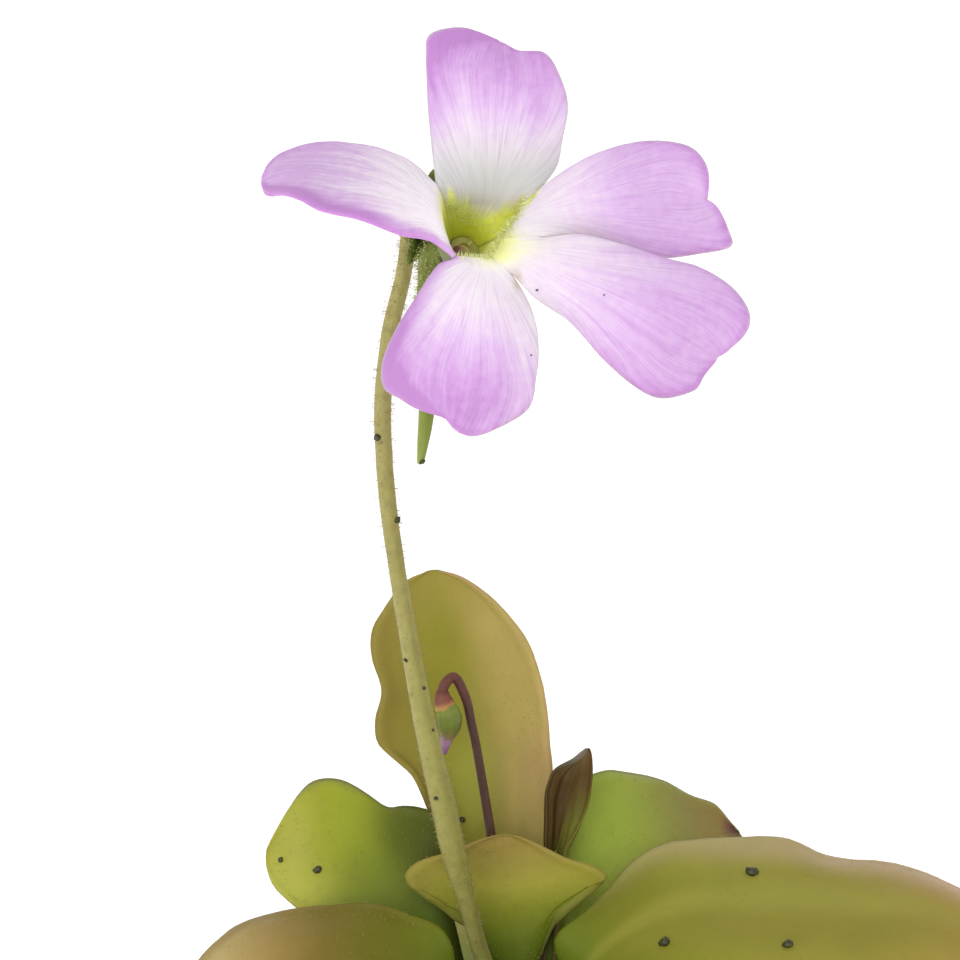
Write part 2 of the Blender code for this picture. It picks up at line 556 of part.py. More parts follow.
# Each lobe has its middle line in the throat, then its two edges and its middle out to the tip.
LOBES = {
    "top": dict(
        creases=("left_top", "top_right"),
        throat=[floor_point(80), (0.0, 1.3, -4.2), (0.4, 2.0, -3.2), (0.7, 2.8, -2.2)],
        first=[(-2.9, 5.8, -1.5), (-3.1, 8.2, -1.2), (-3.2, 11.0, -1.2), (-2.9, 12.3, -1.4),
               (-0.8, 12.7, -1.6), (1.4, 11.9, -1.8)],
        middle=[(0.9, 5.1, -0.9), (1.0, 7.5, -0.4), (1.2, 9.6, -0.6), (1.4, 11.9, -1.8)],
        second=[(4.8, 4.1, -1.9), (5.2, 5.8, -1.6), (5.5, 7.9, -1.2), (5.0, 9.7, -1.2), (4.1, 11.1, -1.4),
                (2.5, 11.3, -1.7), (1.4, 11.9, -1.8)]),
    "right": dict(
        creases=("top_right", "right_low"),
        throat=[floor_point(5), (1.5, -0.2, -2.6), (2.3, 0.4, -0.7), (3.1, 0.9, -0.1)],
        first=[(4.6, 3.4, -1.2), (6.9, 4.8, -1.1), (9.0, 5.6, -1.4), (11.2, 5.8, -1.9), (13.1, 5.5, -2.4),
               (14.1, 4.5, -2.5), (14.3, 3.3, -2.5), (14.2, 2.3, -2.9)],
        middle=[(5.6, 1.5, -0.2), (8.7, 2.0, -0.4), (11.5, 2.4, -1.6), (14.2, 2.3, -2.9)],
        second=[(6.3, -0.2, -0.7), (8.8, -0.9, -1.5), (11.3, -1.4, -2.0), (13.7, -1.1, -2.6),
                (15.7, -0.6, -3.2), (15.6, 0.4, -3.3), (14.9, 1.8, -3.1), (14.2, 2.3, -2.9)]),
    "low": dict(
        creases=("right_low", "low_bottom"),
        throat=[floor_point(-35), (1.0, -1.0, -2.0), (1.5, -1.4, 0.9), (2.8, -1.7, 1.1)],
        first=[(6.2, -0.2, 0.8), (8.6, -0.7, 0.5), (11.2, -1.5, 0.0), (13.6, -2.1, -0.7),
               (15.8, -3.4, -1.6), (16.8, -5.0, -2.2), (16.3, -6.3, -2.4), (14.8, -7.5, -2.4)],
        middle=[(5.5, -2.9, 1.6), (8.5, -4.2, 1.5), (11.3, -5.7, 0.7), (14.8, -7.5, -2.4)],
        second=[(3.6, -4.1, 0.2), (5.6, -5.5, 0.0), (7.4, -7.5, -0.3), (9.2, -9.1, -0.7),
                (11.1, -10.1, -1.1), (13.3, -9.6, -1.8), (13.9, -8.7, -2.1), (14.8, -7.5, -2.4)]),
    "bottom": dict(
        creases=("low_bottom", "bottom_left"),
        throat=[floor_point(-100), (-0.3, -1.7, -2.0), (-0.1, -1.8, 1.0), (0.2, -2.4, 1.4)],
        first=[(2.9, -3.9, 0.3), (3.5, -5.4, 0.2), (3.7, -7.2, 0.0), (3.6, -8.7, -0.3), (3.2, -10.5, -0.7),
               (2.0, -11.5, -0.9), (0.1, -12.3, -0.9), (-0.8, -12.3, -0.6), (-1.6, -11.8, -0.3)],
        middle=[(-0.2, -4.3, 2.0), (-0.6, -6.7, 1.9), (-1.0, -9.0, 1.1), (-1.6, -11.8, -0.3)],
        second=[(-2.3, -1.9, 0.4), (-3.0, -2.7, 0.1), (-3.6, -3.6, -0.2), (-5.0, -5.8, -0.8),
                (-5.9, -7.8, -1.2), (-5.8, -9.4, -1.2), (-4.8, -10.1, -1.0), (-3.5, -10.8, -0.7),
                (-2.1, -11.2, -0.4), (-1.6, -11.8, -0.3)]),
    "left": dict(
        creases=("bottom_left", "left_top"),
        throat=[floor_point(170), (-2.5, 0.3, -2.8), (-2.1, 0.5, -0.2), (-2.4, 0.9, 0.5)],
        first=[(-2.9, -0.7, 1.5), (-4.7, -0.4, 1.9), (-7.1, 0.5, 2.0), (-9.5, 1.1, 1.6), (-10.9, 1.9, 0.6),
               (-12.0, 2.4, -0.6), (-13.1, 2.5, -2.2), (-13.5, 3.5, -3.4)],
        middle=[(-4.0, 2.1, -0.2), (-6.6, 3.2, -1.2), (-9.7, 3.8, -2.2), (-12.1, 3.9, -2.9),
                (-13.5, 3.5, -3.4)],
        second=[(-4.1, 4.7, -3.6), (-6.2, 5.8, -5.2), (-8.7, 6.3, -6.0), (-11.2, 6.1, -6.0),
                (-12.9, 5.1, -5.0), (-13.5, 3.5, -3.4)]),
}

THROAT_ROWS = 4
LOBE_ROWS = 9
LOBE_COLUMNS = 6


def lobe_surface(inner, outer):
    """A sheet through two edge lines and a middle one, in two lengths that meet at v = 1."""
    lines = [[Line(points) for points in trio] for trio in (inner, outer)]
    lines[0][1] = Line(inner[1], after=outer[1][1])
    lines[1][1] = Line(outer[1], before=inner[1][-2])

    def surface(v, t):
        part = 0 if v <= 1 else 1
        first, middle, second = (line.at((v - part) * (TIP_SHARE if part else 1)) for line in lines[part])
        t = t * (1 - (1 - EDGE_SHARE) * smoothstep(1, 1.3, v))
        return middle + t * (second - first) / 2 + t * t * ((first + second) / 2 - middle)

    return surface


def corolla_sheet():
    """Points and faces of the whole corolla: throat and lobes in one sheet, joined along the creases."""
    points = []
    faces = []
    rows = THROAT_ROWS + LOBE_ROWS
    for lobe in LOBES.values():
        inner = [CREASES[lobe["creases"][0]], lobe["throat"], CREASES[lobe["creases"][1]]]
        starts = [line[-1] for line in inner]
        edges = (lobe["first"], lobe["middle"], lobe["second"])
        outer = [[start] + edge for start, edge in zip(starts, edges)]
        surface = lobe_surface(inner, outer)

        def placed(v, t):
            row = v * rows
            reach = row / THROAT_ROWS if row <= THROAT_ROWS else 1 + (row - THROAT_ROWS) / LOBE_ROWS
            return face(*surface(reach, t))

        lobe_points, lobe_faces = sheet_points(rows, LOBE_COLUMNS, placed)
        faces += [[i + len(points) for i in corners] for corners in lobe_faces]
        points += lobe_points
    return points, faces


SPUR = [(-0.9, -0.7, -5.2), (-1.8, -0.6, -6.3), (-2.7, -1.0, -7.1), (-2.75, -2.4, -7.5), (-2.8, -4.2, -7.4),
        (-3.0, -7.2, -7.0), (-3.3, -11.0, -6.3), (-3.6, -13.6, -5.7), (-3.65, -14.0, -5.6)]
SPUR_RADII = [1.25, 1.24, 1.18, 0.96, 0.80, 0.66, 0.52, 0.40, 0.22]
NECK = [(-0.9, -0.6, -5.3), (-1.8, 0.3, -6.8), (-2.9, 1.2, -8.5)]
NECK_RADII = [1.25, 1.05, 0.75]


def make_corolla():
    """Throat and five lobes in one sheet, with the hanging spur and the neck that sits in the calyx."""
    points, faces = corolla_sheet()
    sheet = add_sheet("petals", points, faces, PETAL_THICKNESS, "petal")
    spur = add_object("spur", mesh_of(*swept(Line([face(*p) for p in SPUR]), SPUR_RADII, 14, 10)), "petal")
    neck = add_object("neck", mesh_of(*swept(Line([face(*p) for p in NECK]), NECK_RADII, 5, 10)), "petal")
    joined([sheet, spur, neck], "corolla", "petal")


CALYX_BASE = Vector((-3.6, 1.7, -9.9))
CALYX_AXIS = Vector((0.55, -0.38, 0.95)).normalized()
CALYX_RADIUS = 1.55
CALYX_DEPTH = 1.5
CALYX_CUP = [(0, -0.3), (0.9, -0.2), (1.42, 0.1), (1.74, 0.75), (1.83, CALYX_DEPTH), (1.27, CALYX_DEPTH),
             (1.2, 0.9),
             (0.9, 0.5), (0, 0.34)]
SEPAL_FOOT_ANGLE = 27
SEPAL_THICKNESS = 0.5
SEPALS = [
    dict(angle=107, reach=4.1, height=2.5, width=1.5),
    dict(angle=30, reach=3.5, height=3.7, width=1.0),
    dict(angle=168, reach=3.6, height=3.6, width=1.0),
    dict(angle=236, reach=2.95, height=2.05, width=1.0),
    dict(angle=305, reach=3.0, height=3.7, width=0.9),
]


def calyx_point(angle, radius, height):
    """A point round the calyx's own axis, in the face frame."""
    up = (Vector((0, 1, 0)) - CALYX_AXIS.y * CALYX_AXIS).normalized()
    right = up.cross(CALYX_AXIS)
    turn = math.radians(angle)
    return CALYX_BASE + height * CALYX_AXIS + radius * (math.cos(turn) * right + math.sin(turn) * up)


def sepal_surface(sepal):
    """A pointed sepal's sheet, from inside the cup's wall to its tip, as a function of (v, t)."""
    angle = sepal["angle"]
    reach = sepal["reach"]
    foot = CALYX_DEPTH - 0.7
    rim = CALYX_DEPTH + 0.15
    tip = calyx_point(angle, reach, sepal["height"])
    waist = calyx_point(angle, (CALYX_RADIUS + reach) / 2, (CALYX_DEPTH + sepal["height"]) / 2)
    tangent = (calyx_point(angle + 90, 1, 0) - calyx_point(angle, 0, 0)) * sepal["width"] / 2
    lines = []
    for side in (-1, 0, 1):
        turn = angle + side * SEPAL_FOOT_ANGLE
        lines.append(Line([calyx_point(turn, CALYX_RADIUS, foot),
                           calyx_point(turn, CALYX_RADIUS * 1.04, rim),
                           waist + side * tangent * 0.95, tip]))

    def surface(v, t):
        first, middle, second = (line.at(v * TIP_SHARE) for line in lines)
        return middle + t * (second - first) / 2 + t * t * ((first + second) / 2 - middle)

    return surface


def make_calyx():
    """A shallow cup on the flower's own stalk, with five pointed sepals, joined into one solid."""
    rings, ring_faces = turned(CALYX_CUP, 24)
    cup = [face(*calyx_point(math.degrees(math.atan2(p.y, p.x)), math.hypot(p.x, p.y), p.z)) for p in rings]
    pieces = [add_object("cup", mesh_of(cup, ring_faces), "calyx")]
    for k, sepal in enumerate(SEPALS):
        surface = sepal_surface(sepal)
        points, faces = sheet_points(6, 4, lambda v, t: face(*surface(v, t)))
        pieces.append(add_sheet(f"sepal_{k}", points, faces, SEPAL_THICKNESS, "calyx"))
    joined(pieces, "calyx", "calyx")


# The stalk stands on the crown and hooks over at its top to meet the calyx from behind.
SCAPE = [(-0.5, -1.3, CROWN_TOP + 0.5), (-1.6, -1.2, 71.4), (-2.5, -1.1, 74.0), (-3.2, -0.9, 76.8),
         (-3.9, -0.8, 79.4), (-4.9, -0.65, 84.2), (-6.1, -0.7, 90.0), (-7.1, -0.9, 95.8),
         (-7.9, -1.1, 101.2), (-8.5, -1.3, 106.4),
         (-8.7, -1.5, 111.9), (-8.2, -1.8, 117.0), (-7.3, -1.9, 120.8), (-7.0, -1.2, 123.0),
         (-6.95, -0.35, 124.2),
         (-6.7, -0.55, 124.75), (-6.3, -1.45, 124.6)]
SCAPE_RADII = [0.64, 0.60, 0.62, 0.84, 0.86, 0.78, 0.70, 0.62, 0.59, 0.58, 0.58, 0.58, 0.57, 0.55, 0.52,
               0.50]

BUD_SCAPE = [(0.5, 1.9, CROWN_TOP + 0.4), (-0.1, 3.1, 71.5), (-0.8, 4.5, 74.7), (-1.5, 5.4, 79.3),
             (-2.1, 5.7, 83.1), (-2.6, 5.8, 86.1), (-2.9, 5.9, 87.5), (-3.2, 6.0, 89.0), (-3.7, 6.0, 90.3),
             (-4.1, 5.9, 90.9), (-4.55, 5.7, 90.75), (-4.85, 5.55, 90.3)]
BUD_SCAPE_RADII = [0.42, 0.42, 0.42, 0.40, 0.38, 0.36, 0.34, 0.33, 0.32, 0.32, 0.33, 0.34]
BUD_CALYX = [(-4.92, 5.48, 89.95), (-4.93, 5.42, 89.6), (-4.82, 5.36, 89.15)]
BUD_CALYX_RADII = [0.40, 0.62, 0.70]
BUD = [(-4.76, 5.33, 88.88), (-4.6, 5.28, 88.5), (-4.5, 5.2, 88.0), (-4.5, 5.1, 87.2), (-4.65, 5.05, 86.6),
       (-4.8, 5.0, 86.0), (-4.85, 5.0, 85.5)]
BUD_RADII = [0.66, 0.82, 0.88, 0.80, 0.52, 0.38, 0.20]


def make_stalks():
    add_object("flower_stalk", mesh_of(*swept(Line(SCAPE), SCAPE_RADII, 40, 10)), "scape", 70)
    add_object("bud_stalk", mesh_of(*swept(Line(BUD_SCAPE), BUD_SCAPE_RADII, 28, 8)), "bud_scape", 70)
    add_object("bud_calyx", mesh_of(*swept(Line(BUD_CALYX), BUD_CALYX_RADII, 4, 8)), "calyx", 70)
    add_object("bud", mesh_of(*swept(Line(BUD), BUD_RADII, 7, 8)), "petal", 70)


PISTIL = [(-0.9, -0.5, -4.6), (-1.15, -0.6, -3.8), (-1.45, -0.75, -3.1), (-1.4, -0.85, -2.7)]
PISTIL_RADII = [0.24, 0.30, 0.36, 0.22]


def make_pistil():
    add_object("pistil", mesh_of(*swept(Line([face(*p) for p in PISTIL]), PISTIL_RADII, 6, 8)), "stigma",
               70)


def main():
    for obj in list(bpy.data.objects):
        bpy.data.objects.remove(obj)
    make_pot()
    make_soil()
    make_crown()
    make_leaves()
    make_stalks()
    make_corolla()
    make_calyx()
    make_pistil()


if __name__ == "__main__":
    main()
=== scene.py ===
import bisect
import math
import random

import bmesh
import bpy
from mathutils import Vector, Matrix, noise


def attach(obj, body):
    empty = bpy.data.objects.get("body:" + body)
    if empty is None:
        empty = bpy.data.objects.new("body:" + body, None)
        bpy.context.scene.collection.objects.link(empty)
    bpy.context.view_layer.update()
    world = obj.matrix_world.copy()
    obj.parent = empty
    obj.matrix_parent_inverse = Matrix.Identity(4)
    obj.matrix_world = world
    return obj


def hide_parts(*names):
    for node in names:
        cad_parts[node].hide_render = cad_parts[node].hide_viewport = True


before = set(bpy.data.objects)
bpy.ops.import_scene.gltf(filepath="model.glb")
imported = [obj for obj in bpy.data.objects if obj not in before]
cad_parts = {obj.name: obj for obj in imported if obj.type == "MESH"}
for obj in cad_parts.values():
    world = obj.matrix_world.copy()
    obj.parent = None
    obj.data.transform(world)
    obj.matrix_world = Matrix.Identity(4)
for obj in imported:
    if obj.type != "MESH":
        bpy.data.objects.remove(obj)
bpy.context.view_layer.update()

mm = 0.001  # every size below is in millimetres, and the meshes are in metres
dome = 0.45  # how far the end of a stem bulges, as a share of its radius
curveSteps = 12  # straight steps between two points of a smooth curve


# Small tools: colours, nodes, meshes

def toLinear(code, alpha=1.0):  # an sRGB hex colour as the linear one that Blender's sockets take
    parts = [int(code[i:i + 2], 16) / 255 for i in (1, 3, 5)]
    return tuple(c / 12.92 if c <= 0.04045 else ((c + 0.055) / 1.055) ** 2.4 for c in parts) + (alpha,)


def setInputs(tree, node, sockets):  # links a socket, and writes down a number, a vector or a hex colour
    for key, value in sockets.items():
        if isinstance(value, bpy.types.NodeSocket):
            tree.links.new(value, node.inputs[key])
        else:
            node.inputs[key].default_value = toLinear(value) if isinstance(value, str) else value


# One node, with its settings, its links or values, and the stops of its colour ramp
def addNode(tree, kind, sockets=None, stops=None, **settings):
    node = tree.nodes.new("ShaderNode" + kind)
    for key, value in settings.items():
        setattr(node, key, value)
    setInputs(tree, node, sockets or {})
    for i, stop in enumerate(stops or []):
        while len(node.color_ramp.elements) <= i:
            node.color_ramp.elements.new(1.0)
        node.color_ramp.elements[i].position = stop[0]
        node.color_ramp.elements[i].color = toLinear(*stop[1:])
    return node


def newMaterial(name):
    made = bpy.data.materials.new(name)
    made.use_nodes = True
    tree = made.node_tree
    return made, tree, tree.nodes["Principled BSDF"], addNode(tree, "TexCoord").outputs["Object"]


def newObject(name, data):
    made = bpy.data.objects.new(name, data)
    bpy.context.scene.collection.objects.link(made)
    return made


def addPiece(name, points, faces, material, nodes=(), layers=None, smooth=True):
    mesh = bpy.data.meshes.new(name)
    mesh.from_pydata([Vector(p) * mm for p in points], [], faces)
    for key, values in (layers or {}).items():
        kind = "FLOAT_VECTOR" if len(values) and hasattr(values[0], "__len__") else "FLOAT"
        layer = mesh.attributes.new(key, kind, "POINT")
        if kind == "FLOAT":
            layer.data.foreach_set("value", values)
        else:
            layer.data.foreach_set("vector", [x for value in values for x in value])
    mesh.materials.append(material)
    if smooth:
        mesh.shade_smooth()
    piece = newObject(name, mesh)
    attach(piece, "root")
    if nodes:
        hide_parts(*nodes)
    return piece


def smoothstep(low, high, x):
    u = min(max((x - low) / (high - low), 0.0), 1.0)
    return u * u * (3 - 2 * u)


# a smooth curve through the points, read by its share of length
def lineThrough(points, before=None, after=None):
    knots = [Vector(p) for p in points]
    first = 2 * knots[0] - knots[1] if before is None else Vector(before)
    last = 2 * knots[-1] - knots[-2] if after is None else Vector(after)
    ends = [first] + knots + [last]
    spots = []
    for i in range(len(knots) - 1):
        a, b, c, d = ends[i:i + 4]
        pull, push = (c - a) / 2, (d - b) / 2
        for step in range(curveSteps):
            u = step / curveSteps
            spots.append(((2 * (b - c) + pull + push) * u + 3 * (c - b) - 2 * pull - push) * u * u + pull
                * u + b)
    spots.append(knots[-1])
    lengths = [0.0]
    for a, b in zip(spots, spots[1:]):
        lengths.append(lengths[-1] + (b - a).length)

    def at(share):
        wanted = min(max(share, 0.0), 1.0) * lengths[-1]
        i = min(max(bisect.bisect_left(lengths, wanted), 1), len(spots) - 1)
        span = lengths[i] - lengths[i - 1]
        return spots[i - 1].lerp(spots[i], (wanted - lengths[i - 1]) / span if span else 0.0)

    return at


def gridFaces(grid):  # the faces between neighbouring rows, also where some of their corners meet
    faces = []
    for low, high in zip(grid, grid[1:]):
        for j in range(len(low) - 1):
            corners = list(dict.fromkeys([low[j], low[j + 1], high[j + 1], high[j]]))
            if len(corners) > 2:
                faces.append(corners)
    return faces


def joinBody(points, faces, more, moreFaces):  # adds one more body to the points and faces of a piece
    faces += [[i + len(points) for i in corners] for corners in moreFaces]
    points += more


def threeLines(first, middle, second, t):  # across a sheet, from its first edge at -1 to its second at 1
    return middle + t * (second - first) / 2 + t * t * ((first + second) / 2 - middle)


# a closed thin body round a sheet. Where half is 0 its two faces meet
def thicken(points, faces, half, lift):
    normals = [Vector() for _ in points]
    edges = {}
    for face in faces:
        corners = [points[i] for i in face]
        normal = (corners[2] - corners[0]).cross(corners[-1] - corners[1])
        for i in face:
            normals[i] += normal
        for a, b in zip(face, face[1:] + face[:1]):
            edges[frozenset((a, b))] = None if frozenset((a, b)) in edges else (a, b)
    normals = [n.normalized() for n in normals]
    upper = [p + n * (h + l) for p, n, h, l in zip(points, normals, half, lift)]
    lower = [p + n * (l - h) for p, n, h, l in zip(points, normals, half, lift)]
    under = []
    made = list(upper)
    for i, h in enumerate(half):
        under.append(i if h == 0 else len(made))
        if h:
            made.append(lower[i])
    closed = [list(face) for face in faces] + [[under[i] for i in reversed(face)] for face in faces]
    for edge in edges.values():
        if edge:
            rim = list(dict.fromkeys([edge[1], edge[0], under[edge[0]], under[edge[1]]]))
            if len(rim) > 2:
                closed.append(rim)
    owner = list(range(len(points))) + [i for i, h in enumerate(half) if h]
    side = [1.0 if h else 0.5 for h in half] + [0.0 for h in half if h]
    return made, closed, owner, side


def tangentAt(line, share):
    return (line(min(share + 0.01, 1.0)) - line(max(share - 0.01, 0.0))).normalized()


# A closed stem along a line, with its layers. Its first end is domed by dip of its radius
def sweep(line, radii, rings, sides, shape=None, dip=dome):
    points, faces, along, around = [], [], [], []
    width = lineThrough([(r, i, 0) for i, r in enumerate(radii)])
    tangent = (line(1 / rings) - line(0)).normalized()
    side = tangent.orthogonal().normalized()
    for ring in range(rings + 1):
        share = ring / rings
        centre = line(share)
        ahead = tangentAt(line, share)
        side = (tangent.rotation_difference(ahead) @ side).normalized()
        tangent = ahead
        other = tangent.cross(side)
        for k in range(sides):
            angle = 2 * math.pi * k / sides
            radius = width(share).x * (shape(share, angle) if shape else 1.0)
            points.append(centre + radius * (math.cos(angle) * side + math.sin(angle) * other))
            along.append(share)
            around.append(k / sides)
    for ring in range(rings):
        for k in range(sides):
            a, b = ring * sides + k, ring * sides + (k + 1) % sides
            faces.append([a, b, b + sides, a + sides])
    for ring, step in ((0, -1), (rings, 1)):
        bulge = dip if step == -1 else dome
        points.append(line(ring / rings) + tangentAt(line, ring / rings) * step * width(ring / rings).x
            * bulge)
        along.append(ring / rings)
        around.append(0.0)
        for k in range(sides):
            a, b = ring * sides + k, ring * sides + (k + 1) % sides
            faces.append([a, b, len(points) - 1] if step == 1 else [b, a, len(points) - 1])
    return points, faces, {"along": along, "across": around, "side": list(along)}


# (place, normal, nearest point's index) spread evenly over a piece
def scatterOn(piece, count, seed, weight=None):
    mesh = piece.data
    mesh.calc_loop_triangles()
    chance = random.Random(seed)
    corners = [tuple(t.vertices) for t in mesh.loop_triangles]
    shares = [t.area * (weight(t.vertices[0]) if weight else 1.0) for t in mesh.loop_triangles]
    found = []
    for a, b, c in chance.choices(corners, shares, k=count):
        low, high = sorted((chance.random(), chance.random()))
        parts = (low, high - low, 1 - high)
        place = sum((mesh.vertices[i].co * p for i, p in zip((a, b, c), parts)), Vector())
        normal = sum((mesh.vertices[i].normal * p for i, p in zip((a, b, c), parts)), Vector()).normalized()
        found.append((place / mm, normal, a))
    return found


# hairs: (root, direction, length, radius, radius of the head or 0)
def addHairs(name, hairs, material):
    points, faces, head = [], [], []
    for root, way, length, radius, drop in hairs:
        way = way.normalized()
        side = way.orthogonal().normalized()
        other = way.cross(side)
        ring = [math.cos(a) * side + math.sin(a) * other for a in (0, 2.1, 4.2)]
        start = len(points)
        for share, wide in ((-0.1, 1.0), (0.55, 0.7)):
            points += [root + way * length * share + r * radius * wide for r in ring]
        points.append(root + way * length)
        head += [0.0] * 6 + [0.6]
        for k in range(3):
            m = (k + 1) % 3
            faces.append([start + k, start + m, start + 3 + m, start + 3 + k])
            faces.append([start + 3 + k, start + 3 + m, start + 6])
        if drop:
            centre, start = root + way * (length + drop * 0.6), len(points)
            points += [centre + d * drop for d in (side, other, -side, -other, way, -way)]
            head += [1.0] * 6
            for k in range(4):
                m = (k + 1) % 4
                faces.append([start + k, start + m, start + 4])
                faces.append([start + m, start + k, start + 5])
    return addPiece(name, points, faces, material, layers={"head": head})


# Camera, floor and light

studio = dict(
    cameraPlace=(-2.28, -166.04, 148.18), cameraTilt=76.0, lens=95.625,
    floorColour="#f7f7f6", skyStrength=0.74, keyPlace=(-190, -660, 420), keySize=700, keyPower=2.65,
    pixels=960, sensor=36.0, nearest=0.02, farthest=30.0, floorHalf=9, floorGlow=0.46, keyAim=(0, 0, 90),
)

camera = newObject("camera", bpy.data.cameras.new("camera"))
camera.data.lens = studio["lens"]
camera.data.sensor_width = studio["sensor"]
camera.data.clip_start = studio["nearest"]
camera.data.clip_end = studio["farthest"]
camera.location = Vector(studio["cameraPlace"]) * mm
camera.rotation_euler = (math.radians(studio["cameraTilt"]), 0, 0)
bpy.context.scene.camera = camera
bpy.context.scene.view_settings.view_transform = "Standard"  # the photo's whites stay white
bpy.context.scene.view_settings.look = "None"

world = bpy.context.scene.world or bpy.data.worlds.new("studio")
bpy.context.scene.world = world
world.use_nodes = True
world.node_tree.nodes["Background"].inputs["Color"].default_value = (1, 1, 1, 1)
world.node_tree.nodes["Background"].inputs["Strength"].default_value = studio["skyStrength"]

keyLight = newObject("key", bpy.data.lights.new("key", "AREA"))
keyLight.data.shape = "DISK"
keyLight.data.size = studio["keySize"] * mm
keyLight.data.energy = studio["keyPower"]
keyLight.location = Vector(studio["keyPlace"]) * mm
keyLight.rotation_euler = (Vector(studio["keyAim"]) - Vector(studio["keyPlace"])).to_track_quat("-Z",
    "Y").to_euler()

# flat white card: no gloss, and bright enough to go white
floorMaterial, tree, shader, where = newMaterial("mattPaperboard")
setInputs(tree, shader, {
    "Base Color": toLinear(studio["floorColour"]), "Roughness": 0.9, "Emission Color": (1, 1, 1, 1),
    "Emission Strength": studio["floorGlow"],
})
floorMesh = bpy.data.meshes.new("floor")
floorCorners = [Vector((x, y, 0)) * studio["floorHalf"] for x, y in ((-1, -1), (1, -1), (1, 1), (-1, 1))]
floorMesh.from_pydata(floorCorners, [], [(0, 1, 2, 3)])
floorMesh.materials.append(floorMaterial)
floor = newObject("floor", floorMesh)
print("camera, floor and light are set")


# Living tissue: one way to make the materials of leaves, stalks and sepals, each with its own tones

def tissueMaterial(name, look):
    made, tree, shader, where = newMaterial(name)
    layer = {key: addNode(tree, "Attribute", attribute_name=key).outputs["Fac"] for key in ("along",
        "across", "toneShare", "side")}
    colour = addNode(tree, "ValToRGB", {"Fac": layer["along"]}, look["along"]).outputs["Color"]
    if "across" in look:  # a second ramp across the piece, whose alpha says how much of it shows
        wander = addNode(tree, "MapRange", {"Value": addNode(tree, "TexNoise",
            {"Vector": where, "Scale": 1000 / 3.0, "Detail": 2.0}).outputs[0],
            "To Min": -look.get("wander", 0.05), "To Max": look.get("wander", 0.05)}).outputs[0]
        place = addNode(tree, "Math", {0: layer["across"], 1: wander}, operation="ADD").outputs[0]
        edge = addNode(tree, "ValToRGB", {"Fac": place}, look["across"])
        shown = edge.outputs["Alpha"]
        if "rimFrom" in look:  # near the base the margin has the blade's own tone
            grown = addNode(tree, "MapRange", {"Value": layer["along"], "From Min": look["rimFrom"][0],
                "From Max": look["rimFrom"][1]}).outputs[0]
            shown = addNode(tree, "Math", {0: shown, 1: grown}, operation="MULTIPLY").outputs[0]
        colour = addNode(tree, "Mix", {0: shown, 6: colour, 7: edge.outputs["Color"]},
            data_type="RGBA").outputs[2]
    if "tones" in look:  # broad patches of colour that the mesh code placed: pigment, and on some leaves painted light and painted shade
        colour = addNode(tree, "Mix", {0: layer["toneShare"], 6: colour,
            7: addNode(tree, "Attribute", attribute_name="tone").outputs["Color"]},
            data_type="RGBA").outputs[2]
    if "under" in look:  # the lower side of a blade is paler and duller
        under = addNode(tree, "MapRange", {"Value": layer["side"], "From Max": 0.4, "To Min": 0.8,
            "To Max": 0.0}).outputs[0]
        colour = addNode(tree, "Mix", {0: under, 6: colour, 7: look["under"]}, data_type="RGBA").outputs[2]
    patches = addNode(tree, "ValToRGB", {"Fac": addNode(tree, "TexNoise",
        {"Vector": where, "Scale": 1000 / look.get("patch", 4.0), "Detail": 4.0}).outputs[0]},
        [(0.3, "#a8a8a8"), (0.7, "#ffffff")]).outputs["Color"]
    colour = addNode(tree, "Mix", {0: look.get("patchShare", 0.35), 6: colour, 7: patches},
        data_type="RGBA", blend_type="MULTIPLY").outputs[2]
    if "freckle" in look:  # pigment and emptied glands as small dark dots
        dots = addNode(tree, "ValToRGB", {"Fac": addNode(tree, "TexNoise",
            {"Vector": where, "Scale": 1000 / look.get("freckleSize", 0.9), "Detail": 1.0}).outputs[0]},
            [(0.66, "#000000"), (0.74, "#ffffff")]).outputs["Color"]
        colour = addNode(tree, "Mix", {0: addNode(tree, "Math", {0: dots, 1: look.get("freckleShare", 0.5)},
            operation="MULTIPLY").outputs[0], 6: colour, 7: look["freckle"]}, data_type="RGBA").outputs[2]
    tree.links.new(colour, shader.inputs["Base Color"])
    relief = addNode(tree, "Math", {0: addNode(tree, "TexNoise", {"Vector": where,
        "Scale": 1000 / look.get("cell", 0.35), "Detail": 3.0}).outputs[0],
        1: addNode(tree, "TexNoise", {"Vector": where, "Scale": 1000 / 1.6, "Detail": 2.0}).outputs[0]},
        operation="ADD").outputs[0]
    bump = addNode(tree, "Bump", {"Height": relief, "Strength": look.get("bump", 0.35),
        "Distance": 0.08 * mm})
    tree.links.new(bump.outputs["Normal"], shader.inputs["Normal"])
    gloss = look.get("roughness", 0.45)
    rough = addNode(tree, "MapRange", {"Value": addNode(tree, "TexNoise",
        {"Vector": where, "Scale": 1000 / 1.1, "Detail": 2.0}).outputs[0], "To Min": gloss - 0.10,
        "To Max": gloss + 0.12}).outputs[0]
    setInputs(tree, shader, {
        "Roughness": rough, "IOR": 1.42,  # wet cell walls
        "Specular IOR Level": look.get("shine", 0.35), "Subsurface Weight": look.get("glow", 0.15),
        "Subsurface Radius": (1.0, 1.0, 0.4), "Subsurface Scale": 0.4 * mm,
    })
    return made


